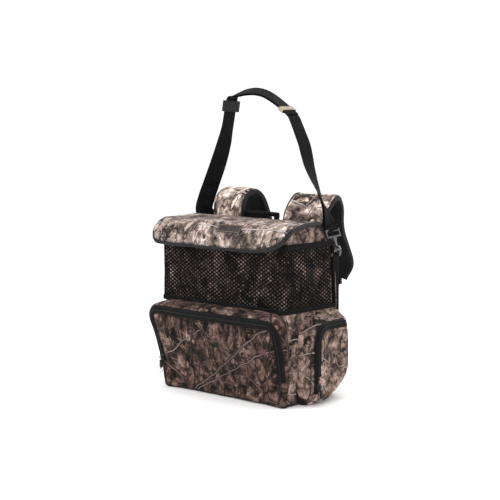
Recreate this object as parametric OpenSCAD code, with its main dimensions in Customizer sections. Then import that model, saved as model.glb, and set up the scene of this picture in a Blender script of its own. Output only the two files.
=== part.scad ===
// Tackle backpack: a boxy soft pack with a drop flap, a wrap-round net pocket,
// a zipped front pocket, two zipped side pockets, shoulder straps and a
// clip-on carry strap. Millimetres, +X to the right seen from the front,
// +Y towards the wearer's back, +Z up. Origin: centre of the base.

/* [Bag body] */
// Half of the main bag's width
body_half = 165; // [160:1:170]
// Half of the main bag's depth
body_deep = 84; // [82:1:86]
// Height of the front rim
rim_z = 362; // [360:0.5:363]
// Height of the rear top edge, below the sloping yoke
rear_z = 292; // [288:1:296]
// Wall thickness of the padded fabric
wall = 3; // [2.5:0.5:4]

/* [Net pocket] */
// Space between the bag and the net
net_gap = 6; // [5:0.5:7]
// Thickness of the net
net_t = 2; // [1.5:0.5:2.5]
// Height of the net's lower edge
net_low = 190; // [188:1:192]
// Height of the net's upper edge
net_high = 322; // [315:1:325]

/* [Front pocket] */
// How far the top of the front pocket stands out from the bag
front_out = 46; // [40:1:48]
// Height where the front face meets the pocket's top
front_top = 184; // [180:1:186]
// Width of one half of a zip
zip_half = 8; // [7:0.5:9]

/* [Side pockets] */
// How far a side pocket stands out at its rear edge
side_out = 25; // [22:1:28]
// How much further it stands out at its front edge
side_flare = 22; // [18:1:26]
// Height of a side pocket
side_high = 172; // [165:1:178]

/* [Straps] */
// Width of a shoulder strap
shoulder_w = 70; // [66:1:72]
// Width of the carry webbing
webbing_w = 38; // [36:1:40]
// Thickness of the carry webbing
webbing_t = 2.4; // [2:0.2:2.6]

/* [Hidden] */
$fn = 48;

// Clearance between pieces that move past each other
gap = 0.4;
// A cutting solid reaches this far past the face it cuts
over = 1;

// Ridge where the flap is sewn on, and the yoke that slopes down behind it
ridge_y = 12;
yoke_run = body_deep - ridge_y;
yoke_fall = rim_z - rear_z;
yoke_len = sqrt(yoke_run * yoke_run + yoke_fall * yoke_fall);
function yoke_z(y) = rim_z - (y - ridge_y) * yoke_fall / yoke_run;

// Net pocket's outer faces
net_half = body_half + net_gap + net_t;
net_front = -body_deep - net_gap - net_t;
net_rear = 54;
net_round = 14;

// Front pocket: the zipped face leans forward between these two lines
pocket_half = 180;
face_top_y = -body_deep - front_out;
face_low_y = -body_deep - 13;
face_low_z = 52;
face_run = face_low_y - face_top_y;
face_rise = front_top - face_low_z;
face_len = sqrt(face_run * face_run + face_rise * face_rise);
face_lean = atan(face_run / face_rise);
face_t = 3;
face_round = 34;
hinge_v = 24;
leg_x = pocket_half - 4 - zip_half;

// Side pockets
side_len = 126;
side_rear_y = 81;
side_lean = atan(side_flare / side_len);
side_round = 46;
side_margin = 5;
// The opening half is thin, with room to swing past the fixed zip
side_flap_t = 1.6;
side_gap = 1.6;
side_hinge_high = [-side_margin, side_high - 9];
side_leg_y = -side_len + side_margin + zip_half;
// Left and right: height of the fold line's low end, and of the slider where it rests
fold_z = [88, 52];
slider_z = [71, 39];
stub_z = 26;

// Drop flap
lid_half = 179;
lid_t = 5.5;
lid_under = rim_z + 1.5;
lid_top = lid_under + lid_t;
nose_y = -77;
nose_r = 36;
nose_end = 230;
binding_w = 8;
label_w = 64;
label_x = 34;

// Carry strap: rings at the rear corners, and the webbing's line between them
ring_y = 72;
ring_z = 296;
ring_x = body_half + 5;
ring_r = 14;
hook_r = 7.5;
ring_rest = 22;
link_x = ring_x + ring_r * sin(ring_rest);
link_z = ring_z + ring_r * cos(ring_rest);
hook_tilt_right = [4, -20, 0];
hook_tilt_left = [10, -8, 0];
eye_turn_right = 0;
eye_turn_left = -28;

// The webbing's route, left hook to right hook, and how far it turns on the way
carry_line = [[-179, 63, 356], [-183, 57, 374], [-175, 51, 402], [-160, 50, 440], [-143, 52, 478],
              [-128, 55, 520], [-119, 57, 560], [-111, 60, 622], [-100, 62, 632], [-82, 64, 638],
              [-58, 66, 640], [-33, 68, 634], [-9, 70, 623], [20, 72, 606], [52, 72, 585],
              [63, 72, 568], [74, 71, 548], [86, 69, 524], [96, 66, 500], [107, 62, 478],
              [122, 56, 455], [138, 52, 431], [150, 53, 407], [156, 59, 384], [158, 68, 358]];
carry_turn = [28, 36, 38, 36, 30, 16, 0, 0, 0, 0, 0, 0, 0, 0, 0, 0, 2, 3, 0, -7, -18, -30, -38,
              -22, 0];
tail_first = 8;
tail_last = 14;
keeper_mid = [36, 72, 595.5];
keeper_lean = 33.3;
glide_mid = [-113.3, 59.1, 604];
glide_lean = [-2.75, 7.35, 0];

// Shoulder strap's line from the yoke over the top to the ladder lock
shoulder_line = [[33, 350], [27, 366], [27, 388], [34, 408], [50, 421], [72, 426], [92, 422],
                 [112, 409], [126, 389], [137, 364], [150, 335], [164, 303], [175, 270],
                 [177, 240]];
shoulder_x = 86;
cover_t = 3;
pad_t = 10;
lower_line = [[176, 216], [172, 196], [164, 160], [150, 116], [128, 72], [104, 36]];
haul_half = 49;
haul_y = 33;
haul_z = 376;
lower_w = 25;
lower_t = 2;

// Extrude an outline drawn in Y and Z along X, centred on x = mid
module along_x(width, mid = 0)
  translate([mid - width / 2, 0, 0])
    rotate([90, 0, 90]) linear_extrude(width) children();

// Extrude an outline drawn in X and Z along Y, from y = start
module along_y(depth, start)
  translate([0, start + depth, 0])
    rotate([90, 0, 0]) linear_extrude(depth) children();

// Rectangle from corner to corner with rounded corners
module round_rect(low, high, r)
  translate([low[0] + r, low[1] + r])
    offset(r = r) square([high[0] - low[0] - 2 * r, high[1] - low[1] - 2 * r]);

// The right-hand version is built, the left is its mirror image
module on_side(side)
  mirror([side < 0 ? 1 : 0, 0, 0]) children();

// Unit normal to the left of a line's direction at point i
function heading(p, i) = let (d = p[min(i + 1, len(p) - 1)] - p[max(i - 1, 0)]) d / norm(d);
function side_step(p, i, by) = let (d = heading(p, i)) p[i] + by * [-d[1], d[0]];

// Flat strip that follows a line, between two distances from it
function strip(p, a, b) =
  concat([for (i = [0 : len(p) - 1]) side_step(p, i, a)],
         [for (i = [len(p) - 1 : -1 : 0]) side_step(p, i, b)]);

// Flat band swept along a route in space; its width points along Y turned by turn[i] about Z
function band_ring(p, turn, i, w, t, lift) =
  let (d = heading(p, i))
  let (s = [sin(turn[i]), cos(turn[i]), 0])
  let (flat = s - (s * d) * d)
  let (across = flat / norm(flat))
  let (out = cross(d, across))
  [for (c = [[-w / 2, lift - t / 2], [w / 2, lift - t / 2], [w / 2, lift + t / 2], [-w / 2, lift + t / 2]])
    p[i] + c[0] * across + c[1] * out];

module band(p, turn, w, t, lift = 0) {
  rings = [for (i = [0 : len(p) - 1]) each band_ring(p, turn, i, w, t, lift)];
  last = 4 * (len(p) - 1);
  sides = [for (i = [0 : len(p) - 2]) for (k = [0 : 3])
    each [[4 * i + k, 4 * i + (k + 1) % 4, 4 * i + 4 + k],
          [4 * i + (k + 1) % 4, 4 * i + 4 + (k + 1) % 4, 4 * i + 4 + k]]];
  ends = [[0, 2, 1], [0, 3, 2], [last, last + 1, last + 2], [last, last + 2, last + 3]];
  polyhedron(rings, concat(sides, ends));
}

// Main bag ---------------------------------------------------------------

module main_body() color([0.45, 0.38, 0.31])
  difference() {
    along_x(2 * body_half)
      polygon([[-body_deep, 0], [body_deep, 0], [body_deep, rear_z], [ridge_y, rim_z], [-body_deep, rim_z]]);
    along_x(2 * (body_half - wall))
      polygon([[-body_deep + wall, wall], [body_deep - wall, wall],
               [body_deep - wall, yoke_z(body_deep - wall) - 4], [ridge_y - 2, yoke_z(ridge_y) - 2],
               [ridge_y - 6, yoke_z(ridge_y) - 2], [ridge_y - 6, rim_z + over],
               [-body_deep + wall, rim_z + over]]);
  }

module base_board() color([0.12, 0.12, 0.13])
  translate([-body_half + 6, -body_deep + 6, wall])
    cube([2 * body_half - 12, 2 * body_deep - 16, 2.5]);

module frame_sheet() color([0.85, 0.85, 0.82])
  translate([-body_half + 8, body_deep - wall - 2, wall])
    cube([2 * body_half - 16, 2, rear_z - 20]);

module back_pad() color([0.1, 0.1, 0.1])
  translate([0, body_deep, 0])
    rotate([90, 0, 180]) linear_extrude(14) round_rect([-140, 38], [140, rear_z - 14], 24);

// Net pocket that wraps round the front and both sides -------------------

module wrap_plan(outer, front, rear, thick, inner_round)
  difference() {
    round_rect([-outer, front], [outer, rear + 2 * net_round], net_round);
    round_rect([-outer + thick, front + thick], [outer - thick, rear + 3 * net_round], inner_round);
    translate([-outer - over, rear]) square([2 * outer + 2 * over, 4 * net_round]);
  }

module net_pocket() color([0.07, 0.07, 0.07]) {
  translate([0, 0, net_low + 8]) linear_extrude(net_high - net_low - 8)
    wrap_plan(net_half, net_front, net_rear, net_t, net_round - net_t);
  for (side = [-1, 1])
    translate([side * (body_half + net_gap / 2) - net_gap / 2, net_rear - 2, net_low + 8])
      cube([net_gap, 2, net_high - net_low - 8]);
}

module net_top_elastic() color([0.05, 0.05, 0.05])
  translate([0, 0, net_high]) linear_extrude(6)
    wrap_plan(net_half, net_front, net_rear, net_t, net_round - net_t);

module net_bottom_band() color([0.05, 0.05, 0.05])
  translate([0, 0, net_low]) linear_extrude(8)
    difference() {
      wrap_plan(net_half, net_front, net_rear, net_gap + net_t, 4);
      translate([-body_half, -body_deep]) square([2 * body_half, 2 * body_deep]);
    }

module loop_patch() color([0.06, 0.06, 0.06])
  translate([-60, -body_deep - 1.5, net_high + 8]) cube([120, 1.5, 22]);

// Drop flap --------------------------------------------------------------

function nose(r, a) = [nose_y + r * cos(a), lid_top - nose_r + r * sin(a)];
lid_edge = [[-106, 338], [nose_y, 345], [-30, 357], [ridge_y + 2, lid_under + 1]];

module lid_profile()
  polygon(concat([[ridge_y + 2, lid_top]],
    [for (a = [90 : 5 : nose_end]) nose(nose_r, a)],
    [for (a = [nose_end : -5 : 90]) nose(nose_r - lid_t, a)],
    [[ridge_y + 2, lid_under]]));

module lid_cheek()
  polygon(concat([[ridge_y + 2, lid_top]], [for (a = [90 : 5 : 175]) nose(nose_r, a)], lid_edge));

module lid_front_view(inset)
  polygon([[-lid_half + inset, 420], [-lid_half + inset, 346 + inset / 2], [-126, 314 + inset],
           [-70, 306 + inset], [70, 306 + inset], [126, 314 + inset],
           [lid_half - inset, 346 + inset / 2], [lid_half - inset, 420]]);

module lid_full()
  intersection() {
    union() {
      along_x(2 * lid_half) lid_profile();
      for (side = [-1, 1])
        along_x(4.5, side * (lid_half - 2.25)) lid_cheek();
    }
    along_y(300, -200) lid_front_view(0);
  }

module lid_face_zone()
  along_y(300, -200) lid_front_view(binding_w);

module lid_flap() color([0.66, 0.58, 0.5])
  intersection() {
    lid_full();
    lid_face_zone();
  }

module lid_binding() color([0.27, 0.25, 0.26])
  difference() {
    lid_full();
    lid_face_zone();
  }

// Curved patch on the nose, between two radii and two angles
module nose_patch(width, low, high, first, last, mid = 0)
  along_x(width, mid)
    polygon(concat([for (a = [first : 4 : last]) nose(high, a)],
                   [for (a = [last : -4 : first]) nose(low, a)]));

module lid_label() color([0.5, 0.46, 0.42])
  nose_patch(label_w, nose_r + 0.1, nose_r + 1.2, 124, 156, label_x);

module hook_patch() color([0.06, 0.06, 0.06])
  nose_patch(120, nose_r - lid_t - 1.7, nose_r - lid_t - 0.2, 148, 184);

// Zips -------------------------------------------------------------------

// Slider on a zip that runs up local Y, with local Z pointing away from the bag
module slider() color([0.08, 0.08, 0.08]) {
  translate([-6, -8, gap]) cube([12, 16, 2.4]);
  for (end = [-1, 1])
    translate([end * 4.2 - 1.2, -3.2, gap + 2.4]) cube([2.4, 5, 3]);
  translate([-5.4, 0, gap + 6.2]) rotate([0, 90, 0]) cylinder(r = 1.2, h = 10.8);
  for (end = [-1, 1])
    translate([end * 4.2 - 1.2, -1.2, gap + 5.2]) cube([2.4, 2.4, 1.4]);
}

// Wire of the pull: an eye round the slider's bar, a shank and an end loop.
// It hangs along local -Z from the bar, which lies along local X.
module pull_wire() color([0.7, 0.7, 0.7]) {
  rotate([0, 90, 0]) translate([0, 0, -2])
    difference() {
      cylinder(r = 2.8, h = 4);
      translate([0, 0, -over]) cylinder(r = 1.6, h = 6);
    }
  translate([0, 0, -24.2]) cylinder(r = 1, h = 22);
  translate([0, 0, -28]) rotate([90, 0, 0])
    rotate_extrude() translate([4, 0]) circle(r = 0.9, $fn = 24);
}

module pull_sleeve() color([0.1, 0.1, 0.1])
  translate([0, 0, -22])
    difference() {
      linear_extrude(17) round_rect([-4.2, -2], [4.2, 2], 1.9);
      translate([0, 0, -over]) cylinder(r = 1, h = 20);
    }

// Front pocket -----------------------------------------------------------

module on_face()
  translate([0, face_low_y, face_low_z]) rotate([90 + face_lean, 0, 0]) children();

module face_outline(inset)
  intersection() {
    round_rect([-pocket_half + inset, -80], [pocket_half - inset, face_len - inset], face_round - inset);
    translate([-200, 4]) square([400, 200]);
  }

module front_solid(inset)
  intersection() {
    along_x(2 * (pocket_half - inset))
      polygon([[-body_deep, inset], [face_low_y + inset, inset], [face_low_y + inset, face_low_z],
               [face_top_y + inset, front_top - 2 * inset], [net_front, net_low - inset],
               [-body_deep, net_low - inset]]);
    along_y(100, -180)
      round_rect([-pocket_half + inset, -60], [pocket_half - inset, net_low - inset], 36);
  }

// Fixed strip of the face between the closed ends of the zip, below the fold
module face_strip(top)
  translate([-leg_x + zip_half + gap, 0]) square([2 * (leg_x - zip_half - gap), top]);

module face_opening()
  difference() {
    face_outline(4);
    face_strip(hinge_v);
  }

module front_gusset() color([0.4, 0.33, 0.27])
  difference() {
    front_solid(0);
    difference() {
      front_solid(wall);
      translate([-200, -body_deep - wall, 0]) cube([400, 20, 300]);
    }
    on_face() translate([0, 0, -face_t - over]) linear_extrude(face_t + 2 * over) face_opening();
  }

// Outline of the moving half of the front face
module face_moving(inset)
  intersection() {
    face_outline(4 + inset);
    translate([-200, hinge_v + gap]) square([400, 200]);
  }

module front_zip_outer() color([0.06, 0.06, 0.06])
  on_face() translate([0, 0, -face_t]) linear_extrude(face_t)
    difference() {
      face_outline(4);
      face_moving(zip_half);
      face_strip(hinge_v + 2);
    }

module front_zip_inner() color([0.06, 0.06, 0.06])
  on_face() translate([0, 0, -face_t]) linear_extrude(face_t)
    difference() {
      face_moving(zip_half + gap);
      face_moving(2 * zip_half);
    }

module front_panel() color([0.4, 0.33, 0.27])
  on_face() translate([0, 0, -face_t]) linear_extrude(face_t) face_moving(2 * zip_half);

module front_slider()
  on_face() translate([-leg_x, 13, 0]) slider();

module at_front_pull()
  translate([0, face_low_y, face_low_z]) rotate([90 + face_lean, 0, 0])
    translate([-leg_x, 13, gap + 6.2]) rotate([-90 - face_lean, 0, 0]) children();

module front_pull_wire()
  at_front_pull() pull_wire();

module front_pull_sleeve()
  at_front_pull() pull_sleeve();

// Side pockets -----------------------------------------------------------

// Frame on a pocket's outer wall: local Y runs to the rear, local Z up, X outwards
module on_wall()
  translate([body_half + side_out, side_rear_y, 0]) rotate([0, 0, side_lean]) children();

module side_outline(inset)
  intersection() {
    round_rect([-side_len + inset, -100], [100, side_high - inset], side_round - inset);
    translate([-200, inset]) square([200 - inset, 300]);
  }

// Part of the outer wall above the fold line, which opens
module side_moving(inset, k)
  intersection() {
    side_outline(side_margin + inset);
    polygon([[-300, fold_z[k]], [-side_len + side_margin, fold_z[k]], side_hinge_high,
             side_hinge_high + [60, 0], [60, 400], [-300, 400]]);
  }

module side_solid(inset)
  difference() {
    intersection() {
      on_wall() translate([-90 - inset, 0, 0]) rotate([90, 0, 90]) linear_extrude(90) side_outline(inset);
      along_y(300, -150)
        polygon([[body_half - 20, inset], [body_half + 14 - inset, inset],
                 [body_half + side_out + side_flare - 8 - inset, 18],
                 [body_half + side_out + side_flare - inset, 42],
                 [body_half + side_out + side_flare - inset, side_high - 22],
                 [body_half, net_low - 1 - inset], [body_half - 20, net_low - 1 - inset]]);
    }
    translate([-300, -200, -over]) cube([300 + body_half + inset, 400, 300]);
  }

// A plate in the outer wall, between two depths below its outer face
module wall_plate(low, high)
  on_wall() translate([low, 0, 0]) rotate([90, 0, 90]) linear_extrude(high - low) children();

// Closed end of the zip below the fold line
module side_leg_stub(k)
  translate([side_leg_y - zip_half, stub_z]) square([2 * zip_half, fold_z[k] - stub_z + 12]);

module side_fixed_zip(k)
  difference() {
    union() {
      side_moving(0, k);
      side_leg_stub(k);
    }
    side_moving(zip_half, k);
    translate([0, -gap]) side_moving(zip_half, k);
    translate([side_leg_y + zip_half, stub_z]) square([200, 200]);
  }

module side_fixed_top(k)
  difference() {
    side_moving(0, k);
    side_moving(zip_half, k);
    translate([-300, 0]) square([300 + side_leg_y + zip_half, 300]);
    translate([-300, 0]) square([400, side_high - 30]);
  }

module side_gusset(k)
  color([0.43, 0.36, 0.3])
    difference() {
      side_solid(0);
      side_solid(wall);
      wall_plate(-face_t - over, over) side_moving(0, k);
      wall_plate(-face_t - over, over) side_leg_stub(k);
    }

module side_zip_outer(k)
  color([0.06, 0.06, 0.06])
    wall_plate(-face_t, 0) {
      side_fixed_zip(k);
      side_fixed_top(k);
    }

module side_zip_inner(k)
  color([0.06, 0.06, 0.06])
    wall_plate(-side_flap_t, 0)
      difference() {
        side_moving(zip_half + side_gap, k);
        side_moving(2 * zip_half, k);
      }

module side_panel(k)
  color([0.43, 0.36, 0.3])
    wall_plate(-side_flap_t, 0) side_moving(2 * zip_half, k);

module at_side_slider(k)
  on_wall() translate([0, side_leg_y, slider_z[k]]) children();

module side_slider(k)
  at_side_slider(k) rotate([90, 0, 90]) slider();

module at_side_pull(k)
  at_side_slider(k) translate([gap + 6.2, 0, 0]) rotate([0, 0, 90]) children();

module side_gusset_left() on_side(-1) side_gusset(0);
module side_gusset_right() on_side(1) side_gusset(1);
module side_zip_outer_left() on_side(-1) side_zip_outer(0);
module side_zip_outer_right() on_side(1) side_zip_outer(1);
module side_zip_inner_left() on_side(-1) side_zip_inner(0);
module side_zip_inner_right() on_side(1) side_zip_inner(1);
module side_panel_left() on_side(-1) side_panel(0);
module side_panel_right() on_side(1) side_panel(1);
module side_slider_left() on_side(-1) side_slider(0);
module side_slider_right() on_side(1) side_slider(1);
module side_pull_wire_left() on_side(-1) at_side_pull(0) pull_wire();
module side_pull_wire_right() on_side(1) at_side_pull(1) pull_wire();
module side_pull_sleeve_left() on_side(-1) at_side_pull(0) pull_sleeve();
module side_pull_sleeve_right() on_side(1) at_side_pull(1) pull_sleeve();

// Carry strap ------------------------------------------------------------

module ring_tab()
  color([0.06, 0.06, 0.06])
    difference() {
      union() {
        translate([body_half, ring_y - 8, ring_z - 34]) cube([2.5, 16, 34]);
        translate([ring_x, ring_y - 8, ring_z]) rotate([-90, 0, 0]) cylinder(r = 3.7, h = 16);
      }
      translate([ring_x, ring_y - 20, ring_z]) rotate([-90, 0, 0]) cylinder(r = 2.3, h = 40);
    }

// D-ring: a bar in the tab and a half round above it, which leans outwards
module d_ring()
  color([0.62, 0.62, 0.62])
    translate([ring_x, ring_y, ring_z]) {
      translate([0, -ring_r, 0]) rotate([-90, 0, 0]) cylinder(r = 2, h = 2 * ring_r);
      rotate([0, ring_rest, 0]) rotate([90, 0, 90])
        rotate_extrude(angle = 180) translate([ring_r, 0]) circle(r = 2, $fn = 24);
    }

// Where a hook's centre sits, and the way it leans towards the webbing
module at_hook(side)
  translate([side * link_x, ring_y, link_z])
    rotate(side > 0 ? hook_tilt_right : hook_tilt_left) children();

// Snap hook in its local X-Z plane: a round hook, a swivel post and a webbing eye
module snap_hook(side)
  color([0.45, 0.45, 0.46])
    at_hook(side) {
      rotate([90, 0, 0]) rotate([0, 0, 52]) rotate_extrude(angle = 288)
        translate([hook_r, 0]) circle(r = 2.2, $fn = 24);
      translate([0, 0, 7]) cylinder(r = 3.4, h = 14);
      translate([0, 0, 20]) cylinder(r = 5, h = 7);
      rotate([0, 0, side > 0 ? eye_turn_right : eye_turn_left])
        translate([0, 0, 28]) difference() {
          translate([-2.5, -23, -2]) cube([5, 46, 18]);
          translate([-5, -20, 1.5]) cube([10, 40, 9]);
        }
    }

// Gate that closes the hook's mouth
module hook_gate(side)
  color([0.6, 0.6, 0.6])
    at_hook(side) rotate([90, 0, 0]) rotate([0, 0, -10])
      rotate_extrude(angle = 48) translate([hook_r, 0]) circle(r = 1.8, $fn = 24);

module carry_webbing() color([0.05, 0.05, 0.05])
  band(carry_line, carry_turn, webbing_w, webbing_t);

// Doubled end of the webbing, folded back over the top from the slide to the keeper
function part_of(list, a, b) = [for (i = [a : b]) list[i]];

module carry_tail() color([0.06, 0.06, 0.06])
  band(part_of(carry_line, tail_first, tail_last), part_of(carry_turn, tail_first, tail_last),
       webbing_w, webbing_t, webbing_t + gap);

module tail_keeper() color([0.62, 0.52, 0.4])
  translate(keeper_mid) rotate([0, keeper_lean, 0]) translate([0, 0, 1.4]) difference() {
    cube([13, 46, 11], center = true);
    cube([20, 40, 7.4], center = true);
  }

module tri_glide() color([0.05, 0.05, 0.05])
  translate(glide_mid) rotate(glide_lean) difference() {
    cube([7, 48, 24], center = true);
    cube([4.2, 41, 40], center = true);
  }

module d_ring_left() on_side(-1) d_ring();
module d_ring_right() on_side(1) d_ring();
module ring_tab_left() on_side(-1) ring_tab();
module ring_tab_right() on_side(1) ring_tab();
module snap_hook_left() snap_hook(-1);
module snap_hook_right() snap_hook(1);
module hook_gate_left() hook_gate(-1);
module hook_gate_right() hook_gate(1);

// Shoulder straps --------------------------------------------------------

module shoulder_cover() color([0.6, 0.53, 0.45])
  along_x(shoulder_w, shoulder_x) polygon(strip(shoulder_line, 0, cover_t));

module shoulder_pad() color([0.08, 0.08, 0.08])
  along_x(shoulder_w, shoulder_x) polygon(strip(shoulder_line, -pad_t, 0));

module ladder_lock() color([0.07, 0.07, 0.07])
  translate([shoulder_x, 174, 229]) rotate([6, 0, 0]) difference() {
    cube([38, 6, 18], center = true);
    translate([0, 0, 4]) cube([28, 10, 3], center = true);
    translate([0, 0, -3]) cube([28, 10, 3], center = true);
  }

module lower_webbing() color([0.06, 0.06, 0.06])
  along_x(lower_w, shoulder_x) polygon(strip(lower_line, -lower_t / 2, lower_t / 2));

module strap_anchor() color([0.06, 0.06, 0.06])
  translate([shoulder_x - 16, body_deep, 18]) cube([32, 16, 14]);

module shoulder_cover_left() on_side(-1) shoulder_cover();
module shoulder_cover_right() on_side(1) shoulder_cover();
module shoulder_pad_left() on_side(-1) shoulder_pad();
module shoulder_pad_right() on_side(1) shoulder_pad();
module ladder_lock_left() on_side(-1) ladder_lock();
module ladder_lock_right() on_side(1) ladder_lock();
module lower_webbing_left() on_side(-1) lower_webbing();
module lower_webbing_right() on_side(1) lower_webbing();
module strap_anchor_left() on_side(-1) strap_anchor();
module strap_anchor_right() on_side(1) strap_anchor();

// Haul handle: rolled webbing between the shoulder straps
module haul_handle() color([0.06, 0.06, 0.06]) {
  translate([-haul_half, haul_y, haul_z]) rotate([0, 90, 0]) cylinder(r = 5, h = 2 * haul_half);
  for (side = [-1, 1])
    translate([side * (haul_half - 7) - 7, haul_y - 2.5, yoke_z(haul_y - 2.5) + 1])
      cube([14, 5, haul_z - yoke_z(haul_y - 2.5) - 4]);
}

main_body();
base_board();
frame_sheet();
back_pad();
net_pocket();
net_top_elastic();
net_bottom_band();
loop_patch();
front_gusset();
front_zip_outer();
side_gusset_left();
side_gusset_right();
side_zip_outer_left();
side_zip_outer_right();
ring_tab_left();
ring_tab_right();
strap_anchor_left();
strap_anchor_right();
lid_flap();
lid_binding();
lid_label();
hook_patch();
front_panel();
front_zip_inner();
side_panel_left();
side_panel_right();
side_zip_inner_left();
side_zip_inner_right();
front_slider();
side_slider_left();
side_slider_right();
front_pull_wire();
front_pull_sleeve();
side_pull_wire_left();
side_pull_wire_right();
side_pull_sleeve_left();
side_pull_sleeve_right();
d_ring_left();
d_ring_right();
carry_webbing();
carry_tail();
tail_keeper();
tri_glide();
snap_hook_left();
snap_hook_right();
hook_gate_left();
hook_gate_right();
shoulder_cover_left();
shoulder_cover_right();
shoulder_pad_left();
shoulder_pad_right();
ladder_lock_left();
ladder_lock_right();
lower_webbing_left();
lower_webbing_right();
haul_handle();
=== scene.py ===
"""Looks of the camouflage tackle backpack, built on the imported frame."""
import math

import bmesh
import bpy
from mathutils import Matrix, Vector, noise


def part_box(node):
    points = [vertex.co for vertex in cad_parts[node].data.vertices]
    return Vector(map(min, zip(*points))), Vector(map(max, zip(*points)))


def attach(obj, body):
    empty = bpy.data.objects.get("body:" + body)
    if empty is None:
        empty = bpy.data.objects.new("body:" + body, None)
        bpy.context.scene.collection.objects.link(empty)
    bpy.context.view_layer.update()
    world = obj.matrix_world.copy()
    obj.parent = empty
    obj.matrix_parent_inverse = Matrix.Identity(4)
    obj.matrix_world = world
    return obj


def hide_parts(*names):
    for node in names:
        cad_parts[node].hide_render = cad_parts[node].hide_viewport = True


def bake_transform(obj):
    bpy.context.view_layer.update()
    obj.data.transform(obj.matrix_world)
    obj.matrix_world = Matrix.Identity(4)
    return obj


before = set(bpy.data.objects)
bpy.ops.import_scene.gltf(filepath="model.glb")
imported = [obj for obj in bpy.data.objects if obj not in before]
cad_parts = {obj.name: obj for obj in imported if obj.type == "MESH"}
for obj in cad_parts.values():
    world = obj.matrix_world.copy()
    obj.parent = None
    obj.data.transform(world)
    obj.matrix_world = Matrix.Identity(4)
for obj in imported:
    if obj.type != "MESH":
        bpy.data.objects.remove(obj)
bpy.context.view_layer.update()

MM = 0.001
sin, cos, pi, rad = math.sin, math.cos, math.pi, math.radians


# ---- materials

class Paint:
    """A node material built step by step; sockets are passed round as values."""

    def __init__(self, name):
        self.mat = bpy.data.materials.new(name)
        self.mat.use_nodes = True
        self.tree = self.mat.node_tree
        self.tree.nodes.clear()
        out = self.tree.nodes.new("ShaderNodeOutputMaterial")
        self.bsdf = self.tree.nodes.new("ShaderNodeBsdfPrincipled")
        self.tree.links.new(self.bsdf.outputs[0], out.inputs[0])
        coords = self.tree.nodes.new("ShaderNodeTexCoord")
        self.place, self.uv = coords.outputs["Object"], coords.outputs["UV"]

    def put(self, socket, value):
        """Links a socket, or sets a number or colour on it."""
        if isinstance(value, bpy.types.NodeSocket):
            self.tree.links.new(value, socket)
        elif isinstance(value, (tuple, list)) and len(value) == 3 and len(socket.default_value) == 4:
            socket.default_value = (*value, 1)
        else:
            socket.default_value = value

    def node(self, kind, inputs=(), **settings):
        n = self.tree.nodes.new("ShaderNode" + kind)
        for k, v in settings.items():
            setattr(n, k, v)
        for k, v in dict(inputs).items():
            self.put(n.inputs[k], v)
        return n

    def warp(self, vector, scale=(1, 1, 1), turn=(0, 0, 0), shift=(0, 0, 0)):
        return self.node("Mapping", {"Vector": vector, "Scale": scale, "Location": shift,
                                     "Rotation": [rad(a) for a in turn]}).outputs[0]

    def noise(self, vector, scale, detail=3, rough=0.55):
        return self.node("TexNoise", {"Vector": vector, "Scale": scale, "Detail": detail,
                                      "Roughness": rough}).outputs["Fac"]

    def cells(self, vector, scale, out="Distance", feature="F1", random=1.0):
        return self.node("TexVoronoi", {"Vector": vector, "Scale": scale, "Randomness": random},
                         feature=feature).outputs[out]

    def wave(self, vector, scale, along="X"):
        return self.node("TexWave", {"Vector": vector, "Scale": scale},
                         wave_type="BANDS", bands_direction=along, wave_profile="SIN").outputs["Fac"]

    def math(self, how, a, b=0.5):
        return self.node("Math", {0: a, 1: b}, operation=how).outputs[0]

    def times(self, a, b):
        return self.math("MULTIPLY", a, b)

    def parts(self, vector):
        return self.node("SeparateXYZ", {0: vector}).outputs

    def step(self, value, low, high, flat=0.0, full=1.0):
        """Smooth step: flat below low, full above high."""
        n = self.node("MapRange", {"Value": value, "From Min": low, "From Max": high,
                                   "To Min": flat, "To Max": full}, interpolation_type="SMOOTHSTEP")
        return n.outputs[0]

    def mix(self, amount, a, b, how="MIX"):
        n = self.node("Mix", data_type="RGBA", blend_type=how)
        for i, v in ((0, amount), (6, a), (7, b)):
            self.put(n.inputs[i], v)
        return n.outputs[2]

    def ramp(self, value, *stops):
        n = self.node("ValToRGB", {"Fac": value})
        points = n.color_ramp.elements
        while len(points) < len(stops):
            points.new(0.5)
        for e, (at, colour) in zip(points, stops):
            e.position, e.color = at, (*colour, 1)
        return n.outputs[0]

    def bumps(self, *layers):
        """Layers are (height, strength, depth in mm), coarsest first."""
        normal = None
        for height, strength, depth in layers:
            inputs = {"Height": height, "Strength": strength, "Distance": depth * MM}
            if normal:
                inputs["Normal"] = normal
            normal = self.node("Bump", inputs).outputs[0]
        self.put(self.bsdf.inputs["Normal"], normal)

    def done(self, colour, rough, metal=0.0, sheen=0.0, spec=0.12):
        self.put(self.bsdf.inputs["Base Color"], colour)
        self.put(self.bsdf.inputs["Roughness"], rough)
        self.bsdf.inputs["Metallic"].default_value = metal
        self.bsdf.inputs["Sheen Weight"].default_value = sheen
        self.bsdf.inputs["Specular IOR Level"].default_value = spec
        return self.mat


def bands(pitch_mm):
    """Wave texture scale that gives bands this far apart."""
    return 1000 / pitch_mm / 6.283 * 2


def woven(p, vector, pitch_mm):
    """Height of a plain weave: two crossed sets of threads."""
    scale = bands(pitch_mm)
    return p.math("MAXIMUM", p.wave(vector, scale, along="X"), p.wave(vector, scale, along="Z"))


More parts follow.
